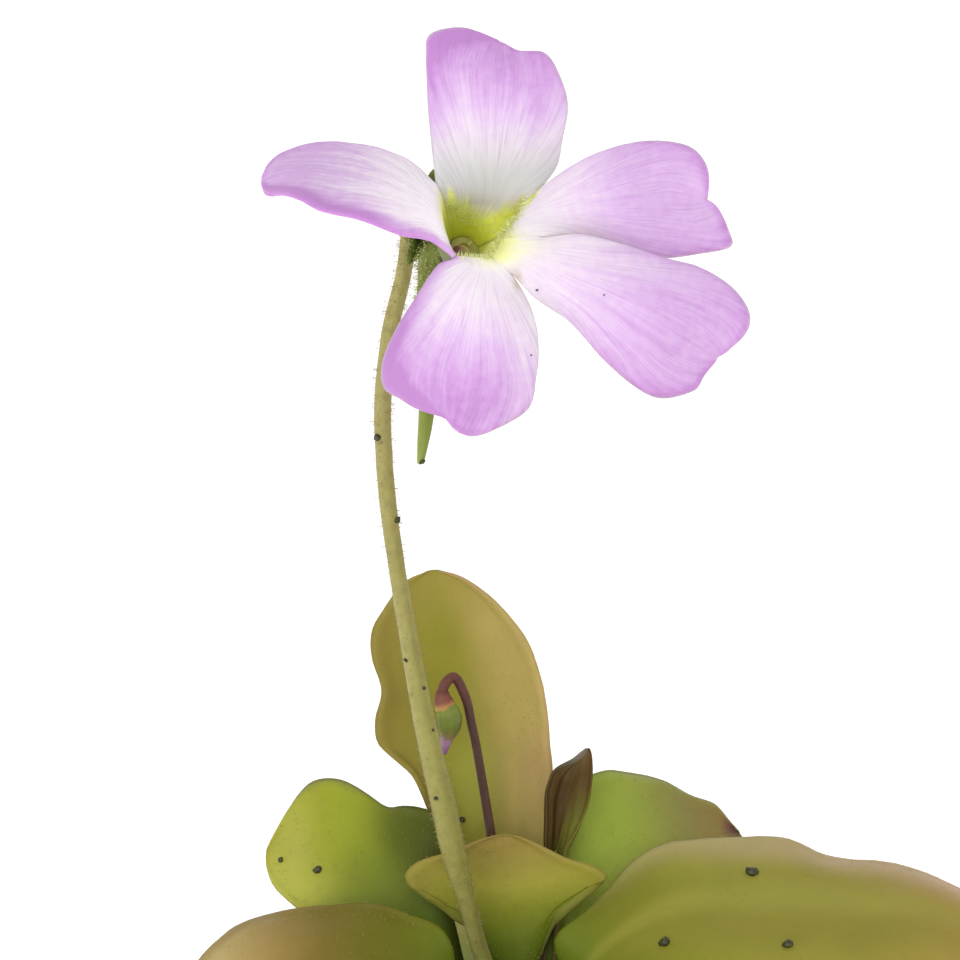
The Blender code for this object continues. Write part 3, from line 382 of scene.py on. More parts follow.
# hairs are clear plant cells with a coloured, sticky head
def hairMaterial(name, stalk, head, roughness=0.3):
    made, tree, shader, where = newMaterial(name)
    fresh = addNode(tree, "ValToRGB", {"Fac": addNode(tree, "TexNoise",
        {"Vector": where, "Scale": 1000 / 0.9, "Detail": 1.0}).outputs[0]},
        [(0.35, "#c8c8c8"), (0.6, "#ffffff")])
    colour = addNode(tree, "Mix", {0: addNode(tree, "Attribute", attribute_name="head").outputs["Fac"],
        6: stalk, 7: head}, data_type="RGBA").outputs[2]
    colour = addNode(tree, "Mix", {0: 0.6, 6: colour, 7: fresh.outputs["Color"]}, data_type="RGBA",
        blend_type="MULTIPLY").outputs[2]
    setInputs(tree, shader, {
        "Base Color": colour, "Roughness": roughness, "IOR": 1.38, "Subsurface Weight": 0.3,
        "Subsurface Scale": 0.2 * mm,
    })
    return made


# The flower, laid out in its own face frame: a to the right, b up and c out of the throat

flowerCentre = Vector((-2.4, -12.0, 125.3))
pitch = math.radians(14.0)
faceRight = Vector((1, 0, 0))
faceUp = Vector((0, math.sin(pitch), math.cos(pitch)))
faceOut = Vector((0, -math.cos(pitch), math.sin(pitch)))


def face(a, b, c):
    return flowerCentre + a * faceRight + b * faceUp + c * faceOut


def floorPoint(degrees):  # on the small ring where the throat narrows into the spur
    angle = math.radians(degrees)
    return Vector((-1.0 + math.cos(angle), -0.8 + math.sin(angle), -5.6))


corolla = dict(
    throatRows=14, lobeRows=50, columns=40, thickness=0.36, crinkle=0.045, waves=0.12,
    lip=[(-1.2, -1.60), (-0.5, -1.80), (0.4, -1.80), (1.0, -1.52), (1.46, -0.97), (2.07, -0.36),
         (2.43, 0.43),
         (3.15, 1.5)],  # the rim that bears the fringe
    creases={
        "left_top": [floorPoint(130), (-2.1, 1.7, -3.6), (-2.35, 2.4, -2.2), (-2.6, 3.1, -1.6)],
        "top_right": [floorPoint(22), (1.2, -0.1, -3.9), (2.4, 0.8, -2.5), (3.3, 2.2, -1.5)],
        "right_low": [floorPoint(-10), (1.4, -0.4, -2.0), (1.9, -0.6, 0.5), (4.1, -0.4, 0.6)],
        "low_bottom": [floorPoint(-60), (0.6, -1.5, -2.0), (1.0, -1.9, 1.15), (2.1, -2.7, 1.1)],
        "bottom_left": [floorPoint(-145), (-2.0, -1.5, -2.4), (-1.6, -1.6, 0.2), (-1.4, -1.7, 0.9)],
    },
    lobes={
        "top": dict(
            creases=("left_top", "top_right"),
            throat=[floorPoint(80), (0.0, 1.3, -4.2), (0.4, 2.0, -3.2), (0.7, 2.8, -2.2)],
            first=[(-2.9, 5.8, -1.5), (-3.1, 8.2, -1.2), (-3.2, 11.0, -1.2), (-2.9, 12.3, -1.4),
                   (-0.8, 12.7, -1.6),
                   (1.4, 11.9, -1.8)],
            middle=[(0.9, 5.1, -0.9), (1.0, 7.5, -0.4), (1.2, 9.6, -0.6), (1.4, 11.9, -1.8)],
            second=[(4.8, 4.1, -1.9), (5.2, 5.8, -1.6), (5.5, 7.9, -1.2), (5.0, 9.7, -1.2),
                    (4.1, 11.1, -1.4),
                    (2.5, 11.3, -1.7), (1.4, 11.9, -1.8)],
            lilac=(0.00, 0.93, 0.80), firstRim=(0.44, 0.50), secondRim=(0.04, 0.30)),
        "right": dict(
            creases=("top_right", "right_low"),
            throat=[floorPoint(5), (1.5, -0.2, -2.6), (2.3, 0.4, -0.7), (3.1, 0.9, -0.1)],
            first=[(4.6, 3.4, -1.2), (6.9, 4.8, -1.1), (9.0, 5.6, -1.4), (11.2, 5.8, -1.9),
                   (13.1, 5.5, -2.4),
                   (14.1, 4.5, -2.5), (14.3, 3.3, -2.5), (14.2, 2.3, -2.9)],
            middle=[(5.6, 1.5, -0.2), (8.7, 2.0, -0.4), (11.5, 2.4, -1.6), (14.2, 2.3, -2.9)],
            second=[(6.3, -0.2, -0.7), (8.8, -0.9, -1.5), (11.3, -1.4, -2.0), (13.7, -1.1, -2.6),
                    (15.7, -0.6, -3.2),
                    (15.6, 0.4, -3.3), (14.9, 1.8, -3.1), (14.2, 2.3, -2.9)],
            lilac=(-0.08, 0.62, 0.56), firstRim=(0.16, 0.4), secondRim=(0.15, 0.3)),
        "low": dict(
            creases=("right_low", "low_bottom"),
            throat=[floorPoint(-35), (1.0, -1.0, -2.0), (1.5, -1.4, 0.9), (2.8, -1.7, 1.1)],
            first=[(6.2, -0.2, 0.8), (8.6, -0.7, 0.5), (11.2, -1.5, 0.0), (13.6, -2.1, -0.7),
                   (15.8, -3.4, -1.6),
                   (16.8, -5.0, -2.2), (16.3, -6.3, -2.4), (14.8, -7.5, -2.4)],
            middle=[(5.5, -2.9, 1.6), (8.5, -4.2, 1.5), (11.3, -5.7, 0.7), (14.8, -7.5, -2.4)],
            second=[(3.6, -4.1, 0.2), (5.6, -5.5, 0.0), (7.4, -7.5, -0.3), (9.2, -9.1, -0.7),
                    (11.1, -10.1, -1.1),
                    (13.3, -9.6, -1.8), (13.9, -8.7, -2.1), (14.8, -7.5, -2.4)],
            lilac=(-0.20, 0.75, 0.64), firstRim=(0.05, 0.35), secondRim=(0.22, 0.3)),
        "bottom": dict(
            creases=("low_bottom", "bottom_left"),
            throat=[floorPoint(-100), (-0.3, -1.7, -2.0), (-0.1, -1.8, 1.0), (0.2, -2.4, 1.4)],
            first=[(2.9, -3.9, 0.3), (3.5, -5.4, 0.2), (3.7, -7.2, 0.0), (3.6, -8.7, -0.3),
                   (3.2, -10.5, -0.7),
                   (2.0, -11.5, -0.9), (0.1, -12.3, -0.9), (-0.8, -12.3, -0.6), (-1.6, -11.8, -0.3)],
            middle=[(-0.2, -4.3, 2.0), (-0.6, -6.7, 1.9), (-1.0, -9.0, 1.1), (-1.6, -11.8, -0.3)],
            second=[(-2.3, -1.9, 0.4), (-3.0, -2.7, 0.1), (-3.6, -3.6, -0.2), (-5.0, -5.8, -0.8),
                    (-5.9, -7.8, -1.2),
                    (-5.8, -9.4, -1.2), (-4.8, -10.1, -1.0), (-3.5, -10.8, -0.7), (-2.1, -11.2, -0.4),
                    (-1.6, -11.8, -0.3)],
            lilac=(-0.05, 0.85, 0.84), firstRim=(-0.18, 0.5), secondRim=(0.72, 0.42)),
        "left": dict(
            creases=("bottom_left", "left_top"),
            throat=[floorPoint(170), (-2.5, 0.3, -2.8), (-2.25, 0.55, -0.2), (-2.6, 1.0, 0.5)],
            first=[(-2.9, -0.7, 1.5), (-4.7, -0.4, 1.9), (-7.1, 0.5, 2.0), (-9.5, 1.1, 1.6),
                   (-10.9, 1.9, 0.6),
                   (-12.0, 2.4, -0.6), (-13.1, 2.5, -2.2), (-13.5, 3.5, -3.4)],
            middle=[(-4.0, 2.1, -0.2), (-6.6, 3.2, -1.2), (-9.7, 3.8, -2.2), (-12.1, 3.9, -2.9),
                    (-13.5, 3.5, -3.4)],
            second=[(-4.1, 4.7, -3.6), (-6.2, 5.8, -5.2), (-8.7, 6.3, -6.0), (-11.2, 6.1, -6.0),
                    (-12.9, 5.1, -5.0),
                    (-13.5, 3.5, -3.4)],
            lilac=(-0.02, 0.85, 0.64), firstRim=(0.72, 0.46), secondRim=(0.18, 0.4)),
    },
)


# v runs to 1 in the throat, then to 2 at the tip. t runs from -1 to 1 across
def lobeSurface(inner, outer):
    lines = [[lineThrough(points) for points in trio] for trio in (inner, outer)]
    lines[0][1] = lineThrough(inner[1], after=outer[1][1])
    lines[1][1] = lineThrough(outer[1], before=inner[1][-2])

    def surface(v, t):
        part = 0 if v <= 1 else 1
        return threeLines(*(line(v - part) for line in lines[part]), t)

    return surface


def insideLip(a, b):  # how far a place is inside the fringed rim, in mm, or a negative number outside it
    best, sign = 9.0, 1.0
    for (x, y), (u, v) in zip(corolla["lip"], corolla["lip"][1:]):
        length = math.hypot(u - x, v - y)
        along = min(max(((a - x) * (u - x) + (b - y) * (v - y)) / length ** 2, 0.0), 1.0)
        gap = math.hypot(a - x - along * (u - x), b - y - along * (v - y))
        if gap < best:
            best, sign = gap, 1.0 if (u - x) * (b - y) - (v - y) * (a - x) > 0 else -1.0
    return best * sign


# how olive the tissue is: up to a ragged line above the mouth, and inside its lip
def throatGreen(name, spot, v, vein):
    if name == "top":
        edge = 1.55 + 0.85 * smoothstep(-0.4, 1.5, -spot.x) + 0.4 * smoothstep(1.2, 2.0,
            spot.x) + 0.8 * vein
        return smoothstep(edge + 0.5, edge - 0.45, spot.y)
    if name == "left":
        return smoothstep(0.99, 0.84, v + 0.12 * vein)
    return smoothstep(-0.15, 0.6, insideLip(spot.x, spot.y) + 0.3 * vein) * (1 - smoothstep(1.1, 1.25, v))


# how yellow the lip is: most at its lower right, with rays out along the two right lobes
def creamAt(name, spot, v, vein):
    if name not in ("right", "low", "bottom"):
        return 0.0
    near = math.exp(-(min(insideLip(spot.x, spot.y), 0.0) / 0.55) ** 2) * (1 - smoothstep(1.1, 1.3, v))
    near *= smoothstep(-0.6, 0.9, spot.x) * smoothstep(0.7, -0.7, spot.y)
    far = math.exp(-((spot.x - 2.9) / (1.5 + 0.5 * vein)) ** 2 - ((spot.y + 1.0) / 0.75) ** 2)
    low = math.exp(-((spot.x - 1.6) / 1.1) ** 2 - ((spot.y + 1.75) / 0.55) ** 2)
    return min(0.75 * near + 0.45 * far * (1 + 0.8 * vein) + 0.6 * low, 1.0)


def makeCorollaSheet():
    points, faces, known = [], [], {}
    half, lift = [], []
    layers = {key: [] for key in ("tint", "green", "cream", "throatShade", "fan", "reach", "lobe", "shade",
        "blush", "tube")}
    throatRows, columns = corolla["throatRows"], corolla["columns"]
    rows = throatRows + corolla["lobeRows"]
    for number, (name, lobe) in enumerate(corolla["lobes"].items()):
        creases = [corolla["creases"][key] for key in lobe["creases"]]
        inner = [creases[0], lobe["throat"], creases[1]]
        outer = [[Vector(line[-1])] + lobe[key] for line, key in zip(inner, ("first", "middle", "second"))]
        surface = lobeSurface(inner, outer)
        grid = []
        for i in range(rows + 1):
            v = i / throatRows if i <= throatRows else 1 + (i - throatRows) / corolla["lobeRows"]
            w = max(v - 1, 0.0)
            row = []
            for j in range(columns + 1):
                t = 2 * j / columns - 1
                key = (name, i, j)
                if i <= throatRows and j in (0, columns):
                    key = (lobe["creases"][0 if j == 0 else 1], i)
                if i == rows:
                    key = (name, "tip")
                if key in known:
                    row.append(known[key])
                    continue
                known[key] = len(points)
                row.append(len(points))
                spot = surface(v, t)
                # across a round blade, so that veins end at its rim
                across = t * math.sqrt(max(0.0, 1 - w * w))
                fan = math.atan2(across, w + 0.45)
                rim = math.hypot(w, across) if v > 1 else 0.0
                free = v > 1 and (abs(t) == 1 or i == rows) or i == 0 or (i == throatRows and abs(t) == 1)
                edge = min(1 - abs(t), 1.0) if v > 1 else 1.0
                room = min(edge * 8, (2 - v) * 10 if v > 1 else 1.0, 1.0)
                half.append(0.0 if free else corolla["thickness"] / 2
                    * math.sqrt(max(1 - (1 - room) ** 2, 0.05)))
                vein = noise.noise(Vector((fan * 11 * (1 + 0.5 * smoothstep(0.3, 1, w)), w * 1.3,
                    number * 5)))
                fine = noise.noise(Vector((fan * 27, w * 2.5, number * 7)))
                ripple = noise.noise(Vector((t * 0.4 + number, v * 4.5, 3 * (t > 0)))) * smoothstep(0.5, 1,
                    abs(t))
                lift.append((corolla["crinkle"] * (vein + 0.5 * fine) * smoothstep(0.95, 1.3, v)
                    + corolla["waves"] * ripple * smoothstep(1.15, 1.5, v)))
                points.append(spot)
                low, high, most = lobe["lilac"]
                tint = most * smoothstep(low, high, w + 0.08 * vein)
                for (strength, wide), gone in ((lobe["firstRim"], 1 + t), (lobe["secondRim"], 1 - t)):
                    early = 0.4 if strength > 0.6 else 0.0  # the strongest rims run down to the throat
                    tint += strength * (1 - smoothstep(0, wide, gone)) * smoothstep(-early, 0.35 - early,
                        v - 1)
                layers["tint"].append(tint + 0.09 * vein * smoothstep(0.0, 0.4, w) + 0.22 * smoothstep(0.94,
                    1.0, rim))
                layers["green"].append(throatGreen(name, spot, v, vein))
                # painted shade on the top lobe near the tube
                layers["shade"].append(math.exp(-((spot.y - 3.3) / 2.4) ** 2) if name == "top" else 0.0)
                layers["tube"].append(1 - smoothstep(1.02, 1.36, v))
                layers["blush"].append((name == "top") * math.exp(-((spot.x - 2.7) / 0.5) ** 2
                    - ((spot.y - 1.6) / 0.8) ** 2) + math.exp(-((spot.x - 2.35) / 0.3) ** 2
                    - ((spot.y + 3.0) / 0.6) ** 2))
                # painted shade: the olive is darker deep in the throat and to the right under the fringe
                layers["throatShade"].append(max(smoothstep(-2.4, -5.0, spot.z),
                    0.9 * smoothstep(0.2, 1.8, spot.x)))
                layers["cream"].append(creamAt(name, spot, v, vein + fine))
                layers["fan"].append((fan * 1.0 + number * 3.0, w, number * 1.0))
                layers["reach"].append(v)
                layers["lobe"].append(float(number))
            grid.append(row)
        faces += gridFaces(grid)
    placed = [face(*p) for p in points]
    made, closed, owner, side = thicken(placed, faces, half, lift)
    layers = {key: [values[i] for i in owner] for key, values in layers.items()}
    layers["side"] = side
    return made, closed, layers


# Butterwort petal: thin papery tissue of tiny domed cells. It gives the eye a soft satin with lilac that
# fades to
# white along fine veins, a cream patch at the lip and an olive throat.
petalLook = dict(
    cellSize=0.16, cloudSize=0.55, blotchSize=0.3,  # in mm. Cells are 0.05 mm across: drawn 3 times as wide
    # how a pattern is drawn out
    streaks=(26.0, 2.6, 5.0), fineStreaks=(60.0, 7.0, 9.0), veins=(30.0, 1.6, 7.0),
    streakShare=0.34, fineShare=0.20, cloudShare=0.36, allShares=0.42, blotchShare=0.2, blushShare=0.7,
)

petalMaterial, tree, shader, where = newMaterial("butterwortPetal")
layer = {key: addNode(tree, "Attribute", attribute_name=key).outputs["Fac"] for key in ("tint", "shade",
    "lobe", "cream", "throatShade", "green", "blush", "side", "tube")}
fan = addNode(tree, "Attribute", attribute_name="fan").outputs["Vector"]
stretch = addNode(tree, "VectorMath", {0: fan, 1: petalLook["streaks"]}, operation="MULTIPLY").outputs[0]
streak = addNode(tree, "TexNoise", {"Vector": stretch, "Scale": 1.0, "Detail": 4.0,
    "Roughness": 0.6}).outputs[0]
stretchFine = addNode(tree, "VectorMath", {0: fan, 1: petalLook["fineStreaks"]},
    operation="MULTIPLY").outputs[0]
fineStreak = addNode(tree, "TexNoise", {"Vector": stretchFine, "Scale": 1.0, "Detail": 2.0}).outputs[0]
cloud = addNode(tree, "TexNoise", {"Vector": where, "Scale": 1000 / petalLook["cloudSize"],
    "Detail": 5.0}).outputs[0]
tint = addNode(tree, "Math", {0: streak, 1: petalLook["streakShare"], 2: layer["tint"]},
    operation="MULTIPLY_ADD").outputs[0]
tint = addNode(tree, "Math", {0: fineStreak, 1: petalLook["fineShare"], 2: tint},
    operation="MULTIPLY_ADD").outputs[0]
tint = addNode(tree, "Math", {0: cloud, 1: petalLook["cloudShare"], 2: tint},
    operation="MULTIPLY_ADD").outputs[0]
tint = addNode(tree, "Math", {0: tint, 1: petalLook["allShares"]}, operation="SUBTRACT").outputs[0]
colour = addNode(tree, "ValToRGB", {"Fac": tint}, [(0.0, "#e1dce0"), (0.22, "#ded1df"), (0.48, "#d3badb"),
    (0.75, "#c8a0d2"), (1.0, "#b884c2")]).outputs["Color"]
# painted shade: the top lobe is painted grey near the tube, where it lies in shade
colour = addNode(tree, "Mix", {0: layer["shade"], 6: colour, 7: "#c6c7c6"}, data_type="RGBA").outputs[2]
leftLobeLight = addNode(tree, "Math", {0: layer["lobe"], 1: 3.5}, operation="GREATER_THAN").outputs[0]
white = addNode(tree, "MapRange", {"Value": tint, "From Min": 0.05, "From Max": 0.6, "To Min": 0.5,
    "To Max": 0.0}).outputs[0]
leftLobeLight = addNode(tree, "Math", {0: leftLobeLight, 1: white}, operation="MULTIPLY").outputs[0]
# painted light: the white of the left lobe is painted paler
colour = addNode(tree, "Mix", {0: leftLobeLight, 6: colour, 7: "#f6eff5"}, data_type="RGBA").outputs[2]
vein = addNode(tree, "VectorMath", {0: fan, 1: petalLook["veins"]}, operation="MULTIPLY").outputs[0]
vein = addNode(tree, "TexNoise", {"Vector": vein, "Scale": 1.0, "Detail": 1.5,
    "Distortion": 0.5}).outputs[0]
vein = addNode(tree, "ValToRGB", {"Fac": vein}, [(0.45, "#000000"), (0.49, "#8c8c8c"), (0.51, "#8c8c8c"),
    (0.55, "#000000")])
# thin veins a little deeper than the tissue
colour = addNode(tree, "Mix", {0: vein.outputs["Color"], 6: colour, 7: "#a97fb4"},
    data_type="RGBA").outputs[2]
cream = addNode(tree, "ValToRGB", {"Fac": layer["cream"]}, [(0.0, "#eeeed6"), (0.5, "#eeeec4"),
    (1.0, "#e6e898")])
colour = addNode(tree, "Mix", {0: layer["cream"], 6: colour, 7: cream.outputs["Color"]},
    data_type="RGBA").outputs[2]
# painted shade: the olive goes darker deep in the throat
olive = addNode(tree, "Mix", {0: layer["throatShade"], 6: "#fafc90", 7: "#ccd23e"}, data_type="RGBA").outputs[2]
blotch = addNode(tree, "ValToRGB", {"Fac": addNode(tree, "TexNoise", {"Vector": where,
    "Scale": 1000 / petalLook["blotchSize"], "Detail": 3.0}).outputs[0]},
    [(0.3, "#cccc98"), (0.65, "#ffffff")])
olive = addNode(tree, "Mix", {0: petalLook["blotchShare"], 6: olive, 7: blotch.outputs["Color"]},
    data_type="RGBA", blend_type="MULTIPLY").outputs[2]
colour = addNode(tree, "Mix", {0: layer["green"], 6: colour, 7: olive}, data_type="RGBA").outputs[2]
blush = addNode(tree, "Math", {0: layer["blush"], 1: petalLook["blushShare"]},
    operation="MULTIPLY").outputs[0]
colour = addNode(tree, "Mix", {0: blush, 6: colour, 7: "#a89468"}, data_type="RGBA").outputs[2]
back = addNode(tree, "MapRange", {"Value": layer["side"], "From Max": 0.4, "To Min": 1.0, "To Max": 0.0})
share = addNode(tree, "MapRange", {"Value": layer["tube"], "To Min": 0.45, "To Max": 1.0}).outputs[0]
share = addNode(tree, "Math", {0: share, 1: back.outputs[0]}, operation="MULTIPLY").outputs[0]
rear = addNode(tree, "MapRange", {"Value": layer["tube"], "From Max": 0.9}).outputs[0]
colour = addNode(tree, "Mix", {0: share, 6: colour, 7: addNode(tree, "Mix",
    {0: rear, 6: "#dccfdc", 7: "#70781e"}, data_type="RGBA").outputs[2]}, data_type="RGBA").outputs[2]
tree.links.new(colour, shader.inputs["Base Color"])
relief = addNode(tree, "Math", {0: addNode(tree, "TexVoronoi", {"Scale": 1000
    / petalLook["cellSize"]}).outputs[0], 1: streak}, operation="ADD").outputs[0]
bump = addNode(tree, "Bump", {"Height": relief, "Strength": 0.25, "Distance": 0.05 * mm})
setInputs(tree, shader, {
    # the domed cells catch light at the rim
    "Normal": bump.outputs["Normal"], "Roughness": 0.55, "IOR": 1.4, "Sheen Weight": 0.15,
})
share = addNode(tree, "Math", {0: layer["tube"], 1: back.outputs[0]}, operation="MULTIPLY").outputs[0]
glow = addNode(tree, "MapRange", {"Value": share, "To Min": 0.9, "To Max": 0.05}).outputs[0]
setInputs(tree, shader, {
    "Subsurface Weight": glow,  # light comes through the thin lobes, less through the tube
    "Subsurface Radius": (1.0, 0.95, 0.9), "Subsurface Scale": 0.7 * mm,
})

points, faces, layers = makeCorollaSheet()
corollaPiece = addPiece("petals", points, faces, petalMaterial, ["corolla"], layers)
print("corolla:", len(faces), "faces")

spur = dict(
    line=[(-1.0, -0.8, -5.4), (-1.1, -0.78, -5.85), (-1.9, -0.65, -6.5), (-2.7, -1.0, -7.1),
          (-2.75, -2.4, -7.5),
          (-2.8, -4.2, -7.4), (-3.0, -7.2, -7.0), (-3.3, -11.0, -6.3), (-3.6, -13.6, -5.7),
          (-3.65, -14.0, -5.6)],
    radii=[1.02, 1.02, 1.12, 1.18, 0.96, 0.80, 0.66, 0.52, 0.40, 0.22],
    neck=[(-1.5, -0.2, -6.6), (-2.1, 0.5, -7.5), (-2.9, 1.2, -8.6)], neckRadii=[1.15, 1.02, 0.80],
    # the bright first stop on the end cap inside the spur's mouth is painted light
    tones=[(0.0, "#f6f088"), (0.0015, "#68751c"), (0.40, "#5c6c16"), (0.52, "#84922f"), (0.8, "#7e8c2c"),
           (1.0, "#87923c")],
    hairs=1000, neckHairs=260, seed=17,
)
# thin waxy tube: green with lengthwise streaks, softly lit through
spurMaterial = tissueMaterial("nectarSpurSkin", dict(along=spur["tones"],
    across=[(0.0, "#6d7a2c", 0.5), (0.35, "#9aa653", 0.0), (0.65, "#a5b060", 0.5), (1.0, "#6d7a2c", 0.5)],
    patch=1.2, roughness=0.45, glow=0.25))
points, faces, layers = sweep(lineThrough([face(*p) for p in spur["line"]]), spur["radii"], 80, 24,
    lambda v, a: 1 + smoothstep(0.1, 0.2, v) * (0.05 * math.sin(5 * a) + 0.05
    * noise.noise(Vector((v * 9, a, 0)))), -1.0)
spurPiece = addPiece("spur", points, faces, spurMaterial, ["corolla"], layers)
points, faces, layers = sweep(lineThrough([face(*p) for p in spur["neck"]]), spur["neckRadii"], 16, 24,
    dip=0.0)
layers["side"] = layers["along"] = [0.2 + 0.2 * share for share in layers["along"]]
neckPiece = addPiece("neck", points, faces, spurMaterial, ["corolla"], layers)

throat = dict(
    bristles=230, bristleLength=(0.38, 0.66), papillae=480, papillaLength=(0.05, 0.11), seed=11, band=0.60,
)
# long pale cells at the lip that catch the light
bristleMaterial = hairMaterial("lipBristle", "#f8faac", "#ffffe0", 0.5)
# short knobs with shiny heads on the wall
papillaMaterial = hairMaterial("throatPapilla", "#dce070", "#f2f5b0", 0.35)
layerOf = {key: [item.value for item in corollaPiece.data.attributes[key].data] for key in ("reach", "lobe",
    "side", "green")}
blade = [v.normal.dot(faceOut) for v in corollaPiece.data.vertices]
front = 1.0 if sum(n for n, r, f in zip(blade, layerOf["reach"], layerOf["side"]) if r > 1.4
    and f == 1.0) > 0 else 0.0


def facePlace(place):  # right and up in the flower's face frame
    local = place - flowerCentre
    return local.dot(faceRight), local.dot(faceUp), local.dot(faceOut)


corners = corollaPiece.data.vertices
spots = [facePlace(v.co / mm) for v in corners]
chance = random.Random(throat["seed"])
hairs = []
for place, normal, i in scatterOn(corollaPiece, throat["bristles"], 3,
        lambda i: float(layerOf["side"][i] == front and layerOf["lobe"][i] in (1.0, 2.0, 3.0)
        and layerOf["reach"][i] > 0.3 and 0.05 < insideLip(*spots[i][:2]) - 0.2 * smoothstep(0.4, 1.4,
        spots[i][0]) < throat["band"] and spots[i][0] > -1.4)):
    a, b, c = facePlace(place)
    inward = (faceRight * (-0.3 - a) + faceUp * (1.3 - b)).normalized()
    way = inward * 0.9 + faceOut * 0.75 + Vector([chance.uniform(-0.35, 0.35) for _ in range(3)])
    size = 0.65 + 0.35 * smoothstep(0.2, 1.4, a)  # the fringe is shorter below the stigma
    hairs.append((place, way, chance.uniform(*throat["bristleLength"]) * size, 0.033, 0.0))
addHairs("lip_bristles", hairs, bristleMaterial)
hairs = []
for place, normal, i in scatterOn(corollaPiece, throat["papillae"], 4,
        lambda i: layerOf["green"][i] ** 2 * smoothstep(0.15, 0.6, layerOf["reach"][i])
        * float(layerOf["side"][i] == front and layerOf["green"][i] > 0.1 and layerOf["lobe"][i] == 0.0)
        * (1.0 if spots[i][0] < 0.2 else 0.15)):
    way = normal + Vector([chance.uniform(-0.4, 0.4) for _ in range(3)])
    hairs.append((place, way, chance.uniform(*throat["papillaLength"]), 0.016,
        chance.uniform(0.028, 0.044)))
addHairs("throat_papillae", hairs, papillaMaterial)

pistil = dict(
    line=[(-0.9, -0.5, -4.6), (-1.0, -0.7, -3.9), (-1.1, -0.95, -3.2)], radii=[0.30, 0.32, 0.34],
    flap=(-1.10, -1.05, -2.75), wide=0.62, tall=0.52, thickness=0.16, steps=12,
)
# soft moist lip over the anthers: maroon brown, paler at its edge
stigmaMaterial = tissueMaterial("stigmaFlap", dict(along=[(0.0, "#9a9550"), (0.35, "#8a7a48"),
    (0.6, "#7c5a42"), (1.0, "#6a3f38")], across=[(0.0, "#54302c", 0.9), (0.40, "#7a4c40", 0.8),
    (0.62, "#a08a58", 0.8), (1.0, "#b4ae62", 0.9)], patch=0.5, roughness=0.35, wander=0.08))
points, faces, layers = sweep(lineThrough([face(*p) for p in pistil["line"]]), pistil["radii"], 20, 18)
layers["along"] = [0.5 * v for v in layers["along"]]
flap, half, lift, shares = [], [], [], []
steps = pistil["steps"]
for i in range(steps + 1):
    for j in range(steps + 1):
        u, t = 2 * i / steps - 1, 2 * j / steps - 1
        # a square grid drawn out to a round lobe
        x, y = u * math.sqrt(1 - t * t / 2), t * math.sqrt(1 - u * u / 2)
        x0, y0, z0 = pistil["flap"]
        flap.append(face(x0 + x * pistil["wide"], y0 + y * pistil["tall"],
            z0 + 0.22 * (x * x + y * y) - 0.12 * y))
        rim = max(abs(u), abs(t)) == 1
        half.append(0.0 if rim else pistil["thickness"] / 2)
        lift.append(0.05 * noise.noise(Vector((x, y, 3)) * 2))
        shares.append((0.5 + 0.5 * (1 - math.hypot(x, y)), x / 2 + 0.5))
grid = [range(i * (steps + 1), (i + 1) * (steps + 1)) for i in range(steps + 1)]
made, closed, owner, side = thicken(flap, gridFaces(grid), half, lift)
joinBody(points, faces, made, closed)
layers["along"] += [shares[i][0] for i in owner]
layers["across"] += [shares[i][1] for i in owner]
layers["side"] += side
addPiece("stigma", points, faces, stigmaMaterial, ["pistil"], layers)
print("throat is set")

calyx = dict(
    base=Vector((-3.6, 1.7, -9.9)), axis=Vector((0.55, -0.38, 0.95)).normalized(), radius=1.55, depth=1.5,
    cup=[(0.0, -0.3), (0.9, -0.2), (1.42, 0.1), (1.74, 0.75), (1.83, 1.45), (1.55, 1.58), (1.27, 1.45),
         (1.2, 0.9),
         (0.9, 0.5), (0.0, 0.34)],
    sepals=[(107, 4.1, 2.5, 1.5), (30, 3.5, 3.7, 1.0), (168, 3.6, 3.6, 1.0), (236, 2.95, 2.05, 1.0),
            (305, 3.0, 3.7, 0.9)],  # angle, how far out and how high the tip is, width
    foot=27, thickness=0.5, hairs=1500, hairLength=(0.14, 0.30), seed=21,
)


def calyxPoint(angle, radius, height):
    up = (Vector((0, 1, 0)) - calyx["axis"].y * calyx["axis"]).normalized()
    right = up.cross(calyx["axis"])
    turn = math.radians(angle)
    return calyx["base"] + height * calyx["axis"] + radius * (math.cos(turn) * right + math.sin(turn) * up)


